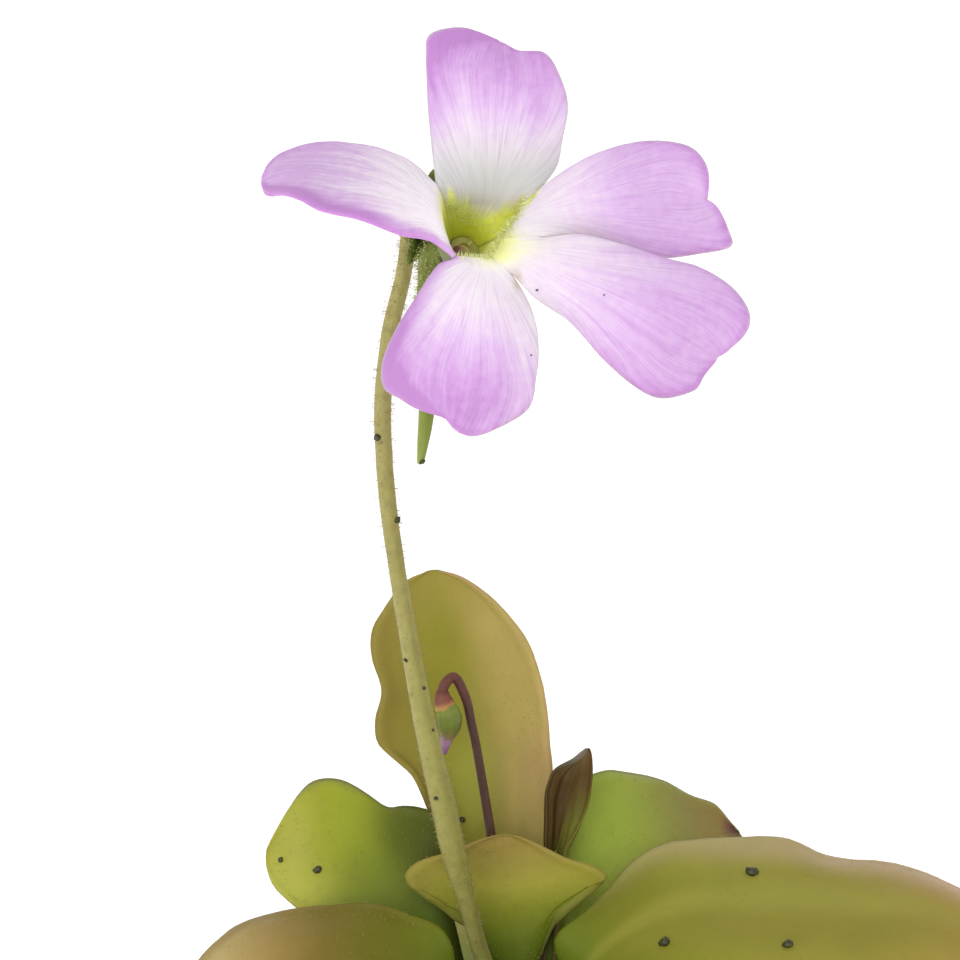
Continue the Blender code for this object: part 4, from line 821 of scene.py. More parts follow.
def makeCalyx():
    profile = lineThrough([(r, h, 0) for r, h in calyx["cup"]])
    points, faces, layers = [], [], {"along": [], "across": [], "side": []}
    steps, around = 40, 36
    for i in range(steps + 1):
        spot = profile(i / steps)
        for k in range(around):
            ribbed = 1 + 0.05 * math.cos(math.radians(10 * k) * 5 + 1.6) * smoothstep(0, 1, spot.x)
            points.append(face(*calyxPoint(10 * k, max(spot.x, 0.0) * ribbed, spot.y)))
            layers["along"].append(0.3 * smoothstep(-0.3, 1.5, spot.y))
            layers["across"].append(k / around)
            layers["side"].append(1.0 if i < steps / 2 else 0.6)
    for i in range(steps):
        for k in range(around):
            a, b = i * around + k, i * around + (k + 1) % around
            faces.append([a, b, b + around, a + around])
    for angle, far, high, width in calyx["sepals"]:
        waist = calyxPoint(angle, (calyx["radius"] + far) / 2, (calyx["depth"] + high) / 2)
        tangent = (calyxPoint(angle + 90, 1, 0) - calyxPoint(angle, 0, 0)) * width / 2
        lines = [lineThrough([calyxPoint(angle + side * calyx["foot"], calyx["radius"],
            calyx["depth"] - 0.7), calyxPoint(angle + side * calyx["foot"], calyx["radius"] * 1.04,
            calyx["depth"] + 0.15), waist + side * tangent * 0.95, calyxPoint(angle, far, high)])
            for side in (-1, 0, 1)]
        piecePoints, half, lift, grid = [], [], [], []
        rows, columns = 26, 12
        values = {"along": [], "across": []}
        for i in range(rows + 1):
            row = []
            for j in range(columns + 1):
                v, t = i / rows, 2 * j / columns - 1
                if i == rows and j:
                    row.append(row[0])
                    continue
                row.append(len(piecePoints))
                spot = threeLines(*(line(v) for line in lines), t)
                piecePoints.append(face(*spot))
                bulk = math.sqrt(max(1 - t ** 4, 0.0)) * math.sqrt(max(1 - v ** 8, 0.0))
                half.append(0.0 if abs(t) == 1 or i == rows else max(calyx["thickness"] / 2 * bulk, 0.05))
                lift.append(0.05 * noise.noise(spot * 1.5))
                values["along"].append(0.3 + 0.7 * v)
                values["across"].append(t / 2 + 0.5)
            grid.append(row)
        made, closed, owner, side = thicken(piecePoints, gridFaces(grid), half, lift)
        joinBody(points, faces, made, closed)
        layers["along"] += [values["along"][i] for i in owner]
        layers["across"] += [values["across"][i] for i in owner]
        layers["side"] += side
    return points, faces, layers


# firm leafy tissue: dark green, mottled, dull under its hairs
calyxMaterial = tissueMaterial("sepalSkin", dict(along=[(0.0, "#8a7f40"), (0.3, "#606e1a"),
    (0.7, "#506012"), (1.0, "#667420")], patch=0.5, patchShare=0.5, roughness=0.5, glow=0.1))
points, faces, layers = makeCalyx()
calyxPiece = addPiece("calyx_cup", points, faces, calyxMaterial, ["calyx"], layers)
# short clear stalks with a drop of mucilage
sepalHairMaterial = hairMaterial("sepalGland", "#a8ac60", "#d6d892", 0.45)
chance = random.Random(calyx["seed"])
hairs = []
spurShare = [item.value for item in spurPiece.data.attributes["along"].data]
for count, (piece, weight) in ((calyx["hairs"], (calyxPiece, None)), (spur["neckHairs"], (neckPiece, None)),
        (spur["hairs"], (spurPiece, lambda i: 1 - smoothstep(0.3, 0.5, spurShare[i]) if spurShare[i] > 0.02
        else 0.0))):
    for place, normal, i in scatterOn(piece, count, 5, weight):
        way = normal + Vector([chance.uniform(-0.35, 0.35) for _ in range(3)])
        hairs.append((place, way, chance.uniform(*calyx["hairLength"]), 0.020,
            chance.uniform(0.032, 0.050)))
addHairs("calyx_glands", hairs, sepalHairMaterial)
print("calyx is set")

# Stalks

stalk = dict(
    line=[(-0.5, -1.3, 69.0), (-1.6, -1.2, 71.4), (-2.5, -1.1, 74.0), (-3.2, -0.9, 76.8),
          (-3.9, -0.8, 79.4),
          (-4.9, -0.65, 84.2), (-6.1, -0.7, 90.0), (-7.1, -0.9, 95.8), (-7.9, -1.1, 101.2),
          (-8.5, -1.3, 106.4), (-8.7, -1.5, 111.9),
          (-8.2, -1.8, 117.0), (-7.3, -1.9, 120.8), (-7.0, -1.2, 123.0), (-6.95, -0.35, 124.2),
          (-6.7, -0.55, 124.75), (-6.3, -1.45, 124.6)],
    radii=[0.64, 0.60, 0.62, 0.84, 0.86, 0.78, 0.70, 0.62, 0.59, 0.58, 0.58, 0.58, 0.57, 0.55, 0.52, 0.50],
    # the darker lowest stops are painted shade, where the stalk goes down between the leaves
    tones=[(0.0, "#5c6a1a"), (0.07, "#6c6f24"), (0.13, "#7f7a34"), (0.18, "#8f8a3e"), (0.35, "#989349"),
           (0.7, "#968b50"),
           (0.86, "#a49a5c"), (0.95, "#bab06e"), (1.0, "#b4a962")],
    hairs=1500, hairLength=(0.12, 0.26), seed=31,
)
# juicy stem skin: khaki, with pale lengthwise lines that are painted highlights
stalkMaterial = tissueMaterial("flowerScapeSkin", dict(along=stalk["tones"],
    across=[(0.0, "#c3bd80", 0.35), (0.25, "#8d8544", 0.25), (0.5, "#c3bd80", 0.3), (0.75, "#8d8544", 0.25),
    (1.0, "#c3bd80", 0.35)], patch=0.8, patchShare=0.3, cell=0.2, bump=0.5, roughness=0.42, glow=0.15))
points, faces, layers = sweep(lineThrough(stalk["line"]), stalk["radii"], 240, 24, lambda v,
    a: 1 + 0.03 * math.sin(6 * a + 4 * v) + 0.04 * noise.noise(Vector((v * 40, math.cos(a), math.sin(a)))))
stalkPiece = addPiece("scape", points, faces, stalkMaterial, ["flower_stalk"], layers)
scapeShare = layers["along"]
# clear stalks with amber sticky heads
scapeHairMaterial = hairMaterial("scapeGland", "#b9b183", "#8d7350", 0.25)
chance = random.Random(stalk["seed"])
hairs = []
for place, normal, i in scatterOn(stalkPiece, stalk["hairs"], 6, lambda i: 0.35 + 0.65 * smoothstep(0.55,
        0.9, scapeShare[i]) if scapeShare[i] < 0.99 else 0.0):
    way = normal + Vector([chance.uniform(-0.3, 0.3) for _ in range(3)])
    hairs.append((place, way, chance.uniform(*stalk["hairLength"]), 0.018, chance.uniform(0.028, 0.045)))
addHairs("scape_glands", hairs, scapeHairMaterial)

bud = dict(
    stalk=[(0.5, 1.9, 68.9), (-0.1, 3.1, 71.5), (-0.8, 4.5, 74.7), (-1.5, 5.4, 79.3), (-2.1, 5.7, 83.1),
           (-2.6, 5.8, 86.1),
           (-2.9, 5.9, 87.5), (-3.2, 6.0, 89.0), (-3.7, 6.0, 90.3), (-4.1, 5.9, 90.9), (-4.55, 5.7, 90.75),
           (-4.88, 5.52, 90.25), (-4.93, 5.46, 89.8)],
    stalkRadii=[0.42, 0.42, 0.42, 0.40, 0.38, 0.36, 0.34, 0.33, 0.32, 0.32, 0.33, 0.36, 0.38],
    calyx=[(-4.90, 5.51, 90.15), (-4.93, 5.46, 89.85), (-4.92, 5.40, 89.5), (-4.82, 5.36, 89.1),
           (-4.76, 5.34, 88.75)],
    calyxRadii=[0.36, 0.52, 0.64, 0.71, 0.70],
    body=[(-4.80, 5.35, 89.2), (-4.6, 5.28, 88.6), (-4.5, 5.2, 88.0), (-4.5, 5.1, 87.2),
          (-4.65, 5.05, 86.6),
          (-4.8, 5.0, 86.0), (-4.85, 5.0, 85.5)],
    bodyRadii=[0.52, 0.78, 0.88, 0.80, 0.52, 0.38, 0.20],
)
# the same stem skin, dark with anthocyanin
budStalkMaterial = tissueMaterial("youngScapeSkin", dict(along=[(0.0, "#6e5a34"), (0.3, "#563b2a"),
    (0.8, "#4a2c26"), (1.0, "#7a4038")], across=[(0.0, "#7a5a48", 0.4), (0.4, "#3c2420", 0.3),
    (1.0, "#7a5a48", 0.4)], patch=0.6, roughness=0.4))
points, faces, layers = sweep(lineThrough(bud["stalk"]), bud["stalkRadii"], 120, 16)
addPiece("young_scape", points, faces, budStalkMaterial, ["bud_stalk"], layers)
# maroon sepals with an orange rim
budCalyxMaterial = tissueMaterial("budSepalSkin", dict(along=[(0.0, "#693c34"), (0.6, "#8c5444"),
    (0.8, "#c08a52"), (1.0, "#b5a552")], patch=0.5, roughness=0.4))
points, faces, layers = sweep(lineThrough(bud["calyx"]), bud["calyxRadii"], 16, 20, lambda v,
    a: 1 + 0.08 * v * math.sin(5 * a))
addPiece("bud_sepals", points, faces, budCalyxMaterial, ["bud_calyx"], layers)
# rolled young petals: green with darker seams and a pink tip
budMaterial = tissueMaterial("closedPetal", dict(along=[(0.0, "#8a9544"), (0.45, "#6c7828"),
    (0.64, "#8a7a50"), (0.76, "#a87ea0"), (1.0, "#8e5f90")], across=[(0.0, "#4d5c18", 0.0),
    (0.42, "#4d5c18", 0.0), (0.5, "#4d5c18", 0.8), (0.58, "#4d5c18", 0.0), (1.0, "#4d5c18", 0.0)],
    patch=0.5, roughness=0.4))
points, faces, layers = sweep(lineThrough(bud["body"]), bud["bodyRadii"], 40, 20, lambda v,
    a: 1 + 0.07 * math.sin(5 * a + 5 * v))
addPiece("closed_bud", points, faces, budMaterial, ["bud"], layers)
print("stalks and bud are set")

# Leaves

# The along ramps darken towards the crown: partly the leaves' own green, partly painted shade where the
# leaves crowd together
drawnLeaves = {
    "leaf_back_upright": dict(
        first=[(-1.9, 2.7, 69.0), (-2.4, 4.6, 72.2), (-4.1, 7.1, 76.4), (-5.5, 8.6, 78.4),
               (-6.5, 9.6, 80.0),
               (-7.5, 10.0, 81.9), (-8.45, 10.2, 82.8), (-9.45, 10.5, 83.6), (-10.0, 10.7, 84.6),
               (-10.05, 10.8, 86.2), (-9.65, 11.0, 88.2), (-10.3, 11.2, 90.5), (-10.3, 11.6, 92.5),
               (-9.5, 12.0, 94.0), (-7.8, 12.7, 96.1), (-5.8, 13.2, 96.85)],
        middle=[(-0.5, 3.0, 69.0), (-1.1, 5.8, 72.0), (-1.9, 9.0, 75.8), (-2.4, 11.2, 79.8),
                (-3.0, 12.6, 84.6),
                (-3.6, 13.4, 89.8), (-4.5, 13.6, 93.5), (-5.8, 13.2, 96.85)],
        second=[(0.9, 3.2, 69.0), (1.6, 5.1, 72.4), (2.7, 6.9, 76.5), (3.1, 8.3, 79.3), (3.2, 9.0, 81.6),
                (3.2, 9.4, 83.1), (3.05, 9.8, 84.8), (2.9, 10.0, 86.7), (2.45, 10.4, 89.2),
                (1.5, 11.2, 91.9),
                (0.0, 12.0, 93.8), (-1.8, 12.7, 95.4), (-3.7, 13.1, 96.5), (-5.8, 13.2, 96.85)],
        look=dict(along=[(0.0, "#5f661a"), (0.35, "#8a8232"), (0.5, "#988f3c"), (0.8, "#a19544"),
                         (1.0, "#9c9042")],
                  across=[(0.0, "#a0905a", 0.8), (0.06, "#948440", 0.0), (0.94, "#b9a25e", 0.0),
                          (1.0, "#b08c6c", 1.0)],
                  tones=[(0.62, 0.95, 0.40, 0.50, "#bea864"), (0.46, 1.0, 0.08, 0.30, "#b8946c"),
                         (0.47, -0.10, 0.08, 0.25, "#aeb24c"),
                         (0.60, -0.30, 0.40, 0.30, "#8f8c2e"), (0.60, -1.0, 0.4, 0.35, "#93843c"),
                         (0.36, -1.0, 0.06, 0.30, "#6f5032")])),
    "leaf_left_back": dict(
        first=[(-2.9, 2.9, 67.6), (-3.6, 3.6, 71.0), (-4.6, 4.8, 75.3), (-4.7, 5.9, 78.2),
               (-5.3, 6.6, 80.2),
               (-6.5, 7.4, 80.5), (-7.7, 8.2, 80.3), (-8.9, 9.2, 79.8), (-10.4, 10.8, 80.1),
               (-12.3, 12.0, 80.7), (-13.8, 12.5, 80.7), (-15.0, 12.5, 80.25), (-16.15, 12.0, 78.9),
               (-17.15, 11.0, 77.25), (-17.85, 10.0, 76.1)],
        middle=[(-3.5, 1.8, 67.6), (-5.2, 3.2, 71.2), (-7.6, 4.8, 74.0), (-10.5, 6.4, 75.4),
                (-13.6, 7.9, 76.0),
                (-16.2, 9.0, 76.2), (-17.85, 10.0, 76.1)],
        second=[(-4.0, 0.8, 67.6), (-5.4, 1.6, 69.8), (-7.6, 2.5, 70.9), (-10.6, 3.2, 71.4),
                (-13.1, 4.2, 72.3),
                (-15.4, 5.6, 73.2), (-17.1, 7.5, 74.0), (-17.75, 9.0, 74.9), (-17.85, 10.0, 76.1)],
        # its dark base by the crown is painted shade; of its patches #b4b450 is a painted highlight,
        # #bab85e painted light near the tip and #4c521a painted shade
        look=dict(along=[(0.0, "#333b0e"), (0.40, "#4a5212"), (0.56, "#7c8728"), (0.75, "#9aa230"),
                         (1.0, "#aaa645")],
                  across=[(0.0, "#8e8f52", 0.9), (0.05, "#8a8f3a", 0.0), (0.95, "#b6b558", 0.0),
                          (1.0, "#a3a05c", 0.9)],
                  tones=[(0.78, 0.70, 0.14, 0.45, "#b4b450"), (0.93, 0.2, 0.07, 0.8, "#bab85e"),
                         (0.46, -0.85, 0.10, 0.35, "#4c521a"),
                         (0.50, 0.50, 0.15, 0.6, "#75802a"), (0.26, 0.4, 0.10, 0.6, "#6f8a24")])),
    "leaf_left_front": dict(
        first=[(-4.5, -0.2, 66.8), (-4.3, -1.3, 70.6), (-4.2, -1.9, 73.6), (-5.0, -1.3, 75.0),
               (-7.0, 0.4, 74.95), (-10.0, 2.1, 74.95),
               (-12.9, 2.6, 74.6), (-15.1, 2.6, 74.4), (-17.7, 2.0, 74.05), (-19.6, 1.0, 73.7),
               (-21.4, -0.8, 72.6),
               (-23.2, -3.0, 70.6), (-24.3, -5.0, 69.2), (-24.5, -7.2, 68.4)],
        middle=[(-4.2, -1.4, 66.8), (-5.0, -3.0, 70.2), (-7.6, -4.2, 73.2), (-11.8, -4.9, 75.0),
                (-15.6, -5.9, 74.6),
                (-20.0, -6.7, 72.2), (-24.5, -7.2, 68.4)],
        second=[(-3.9, -2.5, 66.8), (-5.2, -4.4, 69.4), (-7.4, -7.0, 71.0), (-10.4, -9.6, 71.6),
                (-13.8, -11.6, 71.4),
                (-17.4, -12.4, 70.2), (-21.0, -11.6, 68.6), (-23.6, -9.4, 67.9), (-24.5, -7.2, 68.4)],
        look=dict(along=[(0.0, "#4a5610"), (0.2, "#66721c"), (0.35, "#747424"), (0.5, "#80702e"),
                         (0.62, "#a08648"),
                         (0.75, "#bca66a"), (1.0, "#bca66e")],
                  across=[(0.0, "#a08a60", 0.95), (0.07, "#8a7444", 0.4), (0.15, "#857a3c", 0.0),
                          (0.95, "#9a8c48", 0.0),
                          (1.0, "#b39a68", 0.9)])),
    "leaf_inner_young": dict(
        first=[(-0.8, 0.5, 69.0), (-1.2, 0.9, 71.2), (-3.5, 1.5, 74.2), (-5.1, 1.9, 75.1),
               (-6.1, 2.1, 75.7),
               (-7.2, 2.3, 76.3), (-7.6, 2.5, 76.9), (-7.6, 2.7, 77.4), (-7.1, 3.0, 77.9),
               (-6.2, 3.3, 78.3),
               (-5.1, 3.5, 78.6), (-3.0, 3.9, 79.3), (-1.9, 4.1, 79.6), (-0.6, 4.2, 79.8)],
        middle=[(0.2, 0.8, 69.0), (0.3, 1.5, 71.2), (0.2, 2.4, 73.4), (-0.3, 3.3, 75.7), (-0.6, 4.0, 77.8),
                (-0.6, 4.2, 79.8)],
        second=[(1.2, 0.6, 69.0), (1.7, 0.9, 71.2), (2.9, 1.4, 74.0), (3.5, 1.7, 75.0), (4.6, 1.9, 75.7),
                (5.8, 2.1, 76.3), (6.6, 2.3, 76.7), (6.9, 2.5, 77.2), (6.5, 2.8, 77.6), (5.7, 3.1, 77.9),
                (3.9, 3.5, 78.3), (2.7, 3.8, 78.8), (1.6, 4.0, 79.3), (0.5, 4.1, 79.7), (-0.6, 4.2, 79.8)],
        look=dict(along=[(0.0, "#3f4e06"), (0.28, "#5c6a10"), (0.5, "#7d831e"), (0.66, "#9e9838"),
                         (0.8, "#9d8f40"),
                         (1.0, "#9d8646")],
                  across=[(0.0, "#a08654", 0.35), (0.10, "#9a854c", 0.25), (0.25, "#8f8c38", 0.0),
                          (0.8, "#8f8c38", 0.0),
                          (0.94, "#96853f", 0.25), (1.0, "#9c8650", 0.35)])),
    "leaf_withered": dict(
        first=[(1.8, 1.9, 68.8), (2.4, 3.0, 72.0), (2.7, 4.0, 75.5), (2.2, 5.2, 78.1), (2.2, 5.8, 80.2),
               (2.2, 6.3, 81.9), (2.5, 6.6, 83.0), (2.9, 6.9, 83.7), (3.6, 7.1, 84.0), (4.5, 7.3, 84.2),
               (5.1, 7.4, 84.6), (5.6, 7.5, 85.1)],
        middle=[(2.4, 2.2, 68.8), (2.9, 3.4, 72.0), (3.2, 4.6, 75.4), (3.3, 5.9, 77.8), (3.6, 6.7, 80.2),
                (4.0, 7.2, 82.3), (4.6, 7.4, 83.6), (5.6, 7.5, 85.1)],
        second=[(2.9, 1.6, 68.8), (3.3, 2.7, 72.0), (3.7, 3.7, 75.7), (4.0, 4.8, 77.9), (4.6, 5.2, 78.8),
                (5.3, 5.7, 80.1), (5.7, 6.2, 81.4), (5.9, 6.7, 82.9), (5.9, 7.1, 83.9), (5.8, 7.4, 84.7),
                (5.6, 7.5, 85.1)],
        look=dict(along=[(0.0, "#4a5c0e"), (0.40, "#56640f"), (0.56, "#5c5a1c"), (0.64, "#523c12"),
                         (0.82, "#56401a"),
                         (0.93, "#6c5430"), (1.0, "#8b8174")],
                  across=[(0.0, "#55502a", 0.8), (0.10, "#423210", 0.1), (0.8, "#66481f", 0.1),
                          (1.0, "#705028", 0.6)],
                  tones=[(0.62, 0.80, 0.12, 0.40, "#717228"), (0.78, -0.50, 0.14, 0.40, "#4a3614")],
                  patch=1.2, patchShare=0.3, roughness=0.6, bump=0.5, shine=0.25)),
    "leaf_right_back": dict(
        first=[(2.2, 3.6, 67.6), (2.9, 5.6, 72.2), (3.7, 7.8, 76.2), (4.2, 9.8, 79.1), (5.1, 11.2, 80.9),
               (6.6, 12.0, 81.5), (8.1, 13.0, 81.1), (11.3, 15.0, 79.6), (13.7, 16.0, 78.0),
               (15.4, 16.0, 77.3),
               (16.3, 15.0, 76.5), (17.1, 13.5, 76.0)],
        middle=[(3.1, 2.8, 67.6), (4.2, 4.8, 72.2), (6.6, 7.6, 75.6), (11.0, 10.3, 76.2),
                (14.1, 12.0, 75.9),
                (17.1, 13.5, 76.0)],
        second=[(3.9, 1.9, 67.6), (5.0, 3.4, 70.4), (7.1, 5.2, 72.6), (10.9, 7.2, 73.6), (14.7, 9.6, 74.4),
                (17.3, 12.0, 75.2), (17.1, 13.5, 76.0)],
        look=dict(along=[(0.0, "#75802a"), (0.42, "#94a33e"), (0.6, "#969e44"), (0.8, "#8c8448"),
                         (0.93, "#8e7642"),
                         (0.972, "#6a3c42"), (1.0, "#4f2c36")],
                  across=[(0.0, "#9c9c6c", 0.9), (0.06, "#98a050", 0.0), (1.0, "#9a9a50", 0.4)],
                  tones=[(0.52, -0.45, 0.12, 0.40, "#9aab42")])),
    "leaf_right_large": dict(
        first=[(4.6, 0.9, 66.8), (3.8, 0.1, 70.6), (2.9, -0.7, 73.4), (3.4, -0.5, 74.5), (5.6, 2.3, 74.7),
               (8.4, 4.7, 76.9),
               (10.7, 5.8, 77.9), (13.7, 7.0, 77.95), (16.6, 7.6, 77.9), (19.6, 8.0, 77.65),
               (21.1, 8.0, 77.05),
               (22.5, 7.7, 76.35), (24.7, 7.4, 75.95), (26.8, 7.2, 75.95), (29.6, 6.4, 75.6),
               (32.1, 5.0, 74.9),
               (34.6, 3.2, 73.8), (36.6, 0.8, 72.8), (37.6, -2.4, 72.0)],
        middle=[(4.6, -0.5, 66.8), (4.8, -1.7, 70.4), (6.6, -2.0, 73.4), (11.4, -1.0, 76.0),
                (17.2, -1.4, 76.5),
                (24.0, -1.8, 76.6), (30.7, -2.1, 75.8), (34.6, -2.3, 74.4), (37.6, -2.4, 72.0)],
        second=[(4.4, -1.9, 66.8), (5.2, -3.8, 69.8), (7.3, -6.4, 71.6), (11.0, -8.6, 72.6),
                (15.4, -11.0, 73.0),
                (20.4, -12.4, 73.0), (25.4, -12.6, 72.4), (30.0, -11.6, 71.6), (34.0, -9.2, 71.2),
                (36.6, -6.0, 71.4),
                (37.6, -2.4, 72.0)],
        look=dict(along=[(0.0, "#4d5a0e"), (0.12, "#64741c"), (0.25, "#808228"), (0.4, "#929034"),
                         (0.6, "#989038"),
                         (0.8, "#a48c44"), (1.0, "#a88a50")],
                  across=[(0.0, "#c0a078", 1.0), (0.06, "#b8a068", 0.5), (0.14, "#a09a44", 0.0),
                          (0.9, "#a8924a", 0.2),
                          (1.0, "#b89a68", 0.9)],
                  # c0a47c is a painted sheen where the blade turns away
                  tones=[(0.74, -0.78, 0.22, 0.22, "#c0a47c"), (0.92, -0.85, 0.12, 0.35, "#e2b8a0"),
                         (0.46, -1.0, 0.12, 0.20, "#b0a470"),
                         (0.50, -0.05, 0.25, 0.12, "#9a9640"), (0.50, 0.25, 0.2, 0.15, "#8a8434")])),
}

# The other leaves are laid from an azimuth in degrees, 0 to the right and 90 to the back, and a height
# on the crown
laidLeaves = {
    "leaf_front_right": (301, 4.5, 66.8, 27, 15, (26, 6, -18), 14, 10, 7, 0.5, 1.6, 0.4),
    "leaf_front_left": (249, 4.5, 66.9, 25, 14, (34, 8, -20), -8, 16, 9, 0.5, 1.4, 2.1),
    "leaf_low_right": (332, 4.6, 65.4, 26, 16, (2, -8, -16), 0, 8, 6, 0.4, 1.5, 1.2),
    "leaf_low_front": (277, 4.6, 65.4, 27, 17, (4, -8, -14), 4, 8, 6, 0.5, 1.5, 0.2),
    "leaf_low_left_front": (222, 4.6, 65.4, 26, 16, (2, -9, -12), -4, 8, 6, 0.4, 1.7, 2.6),
    "leaf_low_left": (167, 4.6, 65.4, 25, 17, (4, -7, -14), 0, 8, 6, 0.5, 1.5, 0.9),
    "leaf_low_back": (112, 4.6, 65.4, 26, 17, (3, -9, -14), 0, 8, 6, 0.5, 1.5, 1.7),
    "leaf_low_right_back": (55, 4.6, 65.4, 27, 17, (3, -8, -15), 0, 8, 6, 0.4, 1.5, 3.1),
}
laidLook = dict(along=[(0.0, "#5c661a"), (0.3, "#87902e"), (0.65, "#9a9638"), (1.0, "#a8924e")],
                across=[(0.0, "#b89a70", 1.0), (0.10, "#a9914e", 0.8), (0.28, "#9a9440", 0.0),
                        (0.47, "#a09a44", 0.0),
                        (0.5, "#a69c50", 0.3), (0.53, "#9a9440", 0.0), (0.72, "#9a9440", 0.0),
                        (0.90, "#a9914e", 0.8),
                        (1.0, "#b89a70", 1.0)])


def drawnSurface(leaf):
    lines = [lineThrough(leaf[key]) for key in ("first", "middle", "second")]
    return lambda v, t: threeLines(*(line(v) for line in lines), t)


def halfWidth(share):  # the half width along an obovate blade, as a share of its largest
    if share < 0.6:
        return 0.2 + 0.8 * smoothstep(-0.1, 1, share / 0.6) ** 0.9
    return math.sqrt(max(0.0, 1 - ((share - 0.6) / 0.4) ** 2.2))


def laidSurface(azimuth, radius, height, length, width, rise, twist, cup, roll, wave, waves, phase):
    steps = 60
    heading = math.radians(azimuth)
    slopes = lineThrough([(a, i * 40, 0) for i, a in enumerate(rise)])
    position = Vector((radius * math.cos(heading), radius * math.sin(heading), height))
    midrib = [position.copy()]
    for k in range(steps):
        slope = math.radians(slopes(k / steps).x)
        along = Vector((math.cos(slope) * math.cos(heading), math.cos(slope) * math.sin(heading),
            math.sin(slope)))
        position = position + along * length / steps
        midrib.append(position.copy())

    def surface(v, t):
        exact = min((v + 0.10 * math.sin(math.pi * v) * v) * steps, steps - 1e-6)
        share, k = exact / steps, int(exact)
        along = (midrib[k + 1] - midrib[k]).normalized()
        side = Matrix.Rotation(math.radians(twist * share), 3, along) @ Vector((-math.sin(heading),
            math.cos(heading), 0))
        half = halfWidth(share) * width / 2
        calm = 1 - 0.9 * smoothstep(0.72, 0.96, share)  # the tip lies flat
        across = lift = 0.0
        for i in range(8):
            place = abs(t) * (i + 0.5) / 8
            bend = math.radians(cup * place + roll * 3 * place ** 3) * calm
            across += math.cos(bend) * abs(t) / 8
            lift += math.sin(bend) * abs(t) / 8
        turn = 2 * math.pi * waves * share + phase + 1.7 * (t > 0)
        ripple = wave * abs(t) ** 3 * math.sin(turn) * smoothstep(0.1, 0.4, share) * calm
        centre = midrib[k].lerp(midrib[k + 1], exact - k)
        return centre + side * across * half * math.copysign(1, t) + along.cross(side) * (lift * half
            + ripple)

    return surface


leafForm = dict(rows=70, columns=34, thickness=0.9, roll=0.30, swell=0.16, pebble=0.035, groove=0.16,
                glands=420,
                glandLength=(0.06, 0.13), glandHead=(0.022, 0.038))
glandHairs = []


def toneAt(tones, v, t):  # the blended colour of the patches at a place, and how much of it shows
    colour, total = Vector(), 0.0
    for along, across, length, width, code in tones:
        weight = math.exp(-((v - along) / length) ** 2 - ((t - across) / width) ** 2)
        colour += Vector(toLinear(code)[:3]) * weight
        total += weight
    return colour / max(total, 1e-6), total / (total + 0.25) * (1 - smoothstep(0.8, 1.0, v))


def makeLeaf(name, surface, material, number, crumple=0.0, tones=()):
    rows, columns = leafForm["rows"], leafForm["columns"]
    points, half, lift, grid = [], [], [], []
    layers = {"along": [], "across": []}
    if tones:
        layers.update(tone=[], toneShare=[])
    a, b, c = surface(0.5, -0.2), surface(0.5, 0.2), surface(0.55, 0.0)
    up = 1 if (b - a).cross(c - a).z > 0 else -1  # columns run so that the face normals look up
    for i in range(rows + 1):
        v = i / rows
        row = []
        for j in range(columns + 1):
            t = up * (2 * j / columns - 1)
            t = math.copysign(abs(t) ** 0.85, t)  # closer rows of points near the rolled margins
            if i == rows and j:
                row.append(row[0])
                continue
            row.append(len(points))
            spot = surface(v, t)
            points.append(spot)
            free = abs(t) == 1 or i == rows
            bulk = math.sqrt(max(1 - abs(t) ** 5, 0.0)) * math.sqrt(max(1 - v ** 12, 0.0))
            half.append(0.0 if free else max(leafForm["thickness"] / 2 * bulk * (0.5 if crumple else 1.0),
                0.06))
            swell = noise.noise(spot * 0.22 + Vector((number, 0, 0)))
            pebble = noise.noise(spot * 1.3) + 0.5 * noise.noise(spot * 2.9)
            groove = -leafForm["groove"] * math.exp(-(t / 0.06) ** 2) * (1 - 0.8 * v)
            roll = leafForm["roll"] * smoothstep(0.80, 1.0, abs(t)) * smoothstep(0.1, 0.3, v)
            folds = crumple * noise.noise(Vector((t * 3.2, v * 2.2, number))) * (1 - t ** 4) * (1
                - smoothstep(0.75, 1.0, v))
            lift.append((leafForm["swell"] * swell + leafForm["pebble"] * pebble + groove + roll + folds)
                * smoothstep(0.0, 0.15, v))
            # the withered one changes tone along a slanting fold
            layers["along"].append(v - (0.12 * t if crumple else 0.0))
            layers["across"].append(t / 2 + 0.5)
            if tones:
                tone, shown = toneAt(tones, v, t)
                layers["tone"].append(tuple(tone))
                layers["toneShare"].append(shown)
        grid.append(row)
    made, closed, owner, side = thicken(points, gridFaces(grid), half, lift)
    layers = {key: [values[i] for i in owner] for key, values in layers.items()}
    layers["side"] = side
    piece = addPiece(name + "_blade", made, closed, material, [name],
        layers)
    chance = random.Random(100 + number)
    if not crumple:
        for place, normal, i in scatterOn(piece, leafForm["glands"], number,
                lambda i: float(side[i] > 0.4 and layers["along"][i] > 0.12)):
            way = normal + Vector([chance.uniform(-0.25, 0.25) for _ in range(3)])
            glandHairs.append((place, way, chance.uniform(*leafForm["glandLength"]), 0.020,
                chance.uniform(*leafForm["glandHead"])))
    return piece


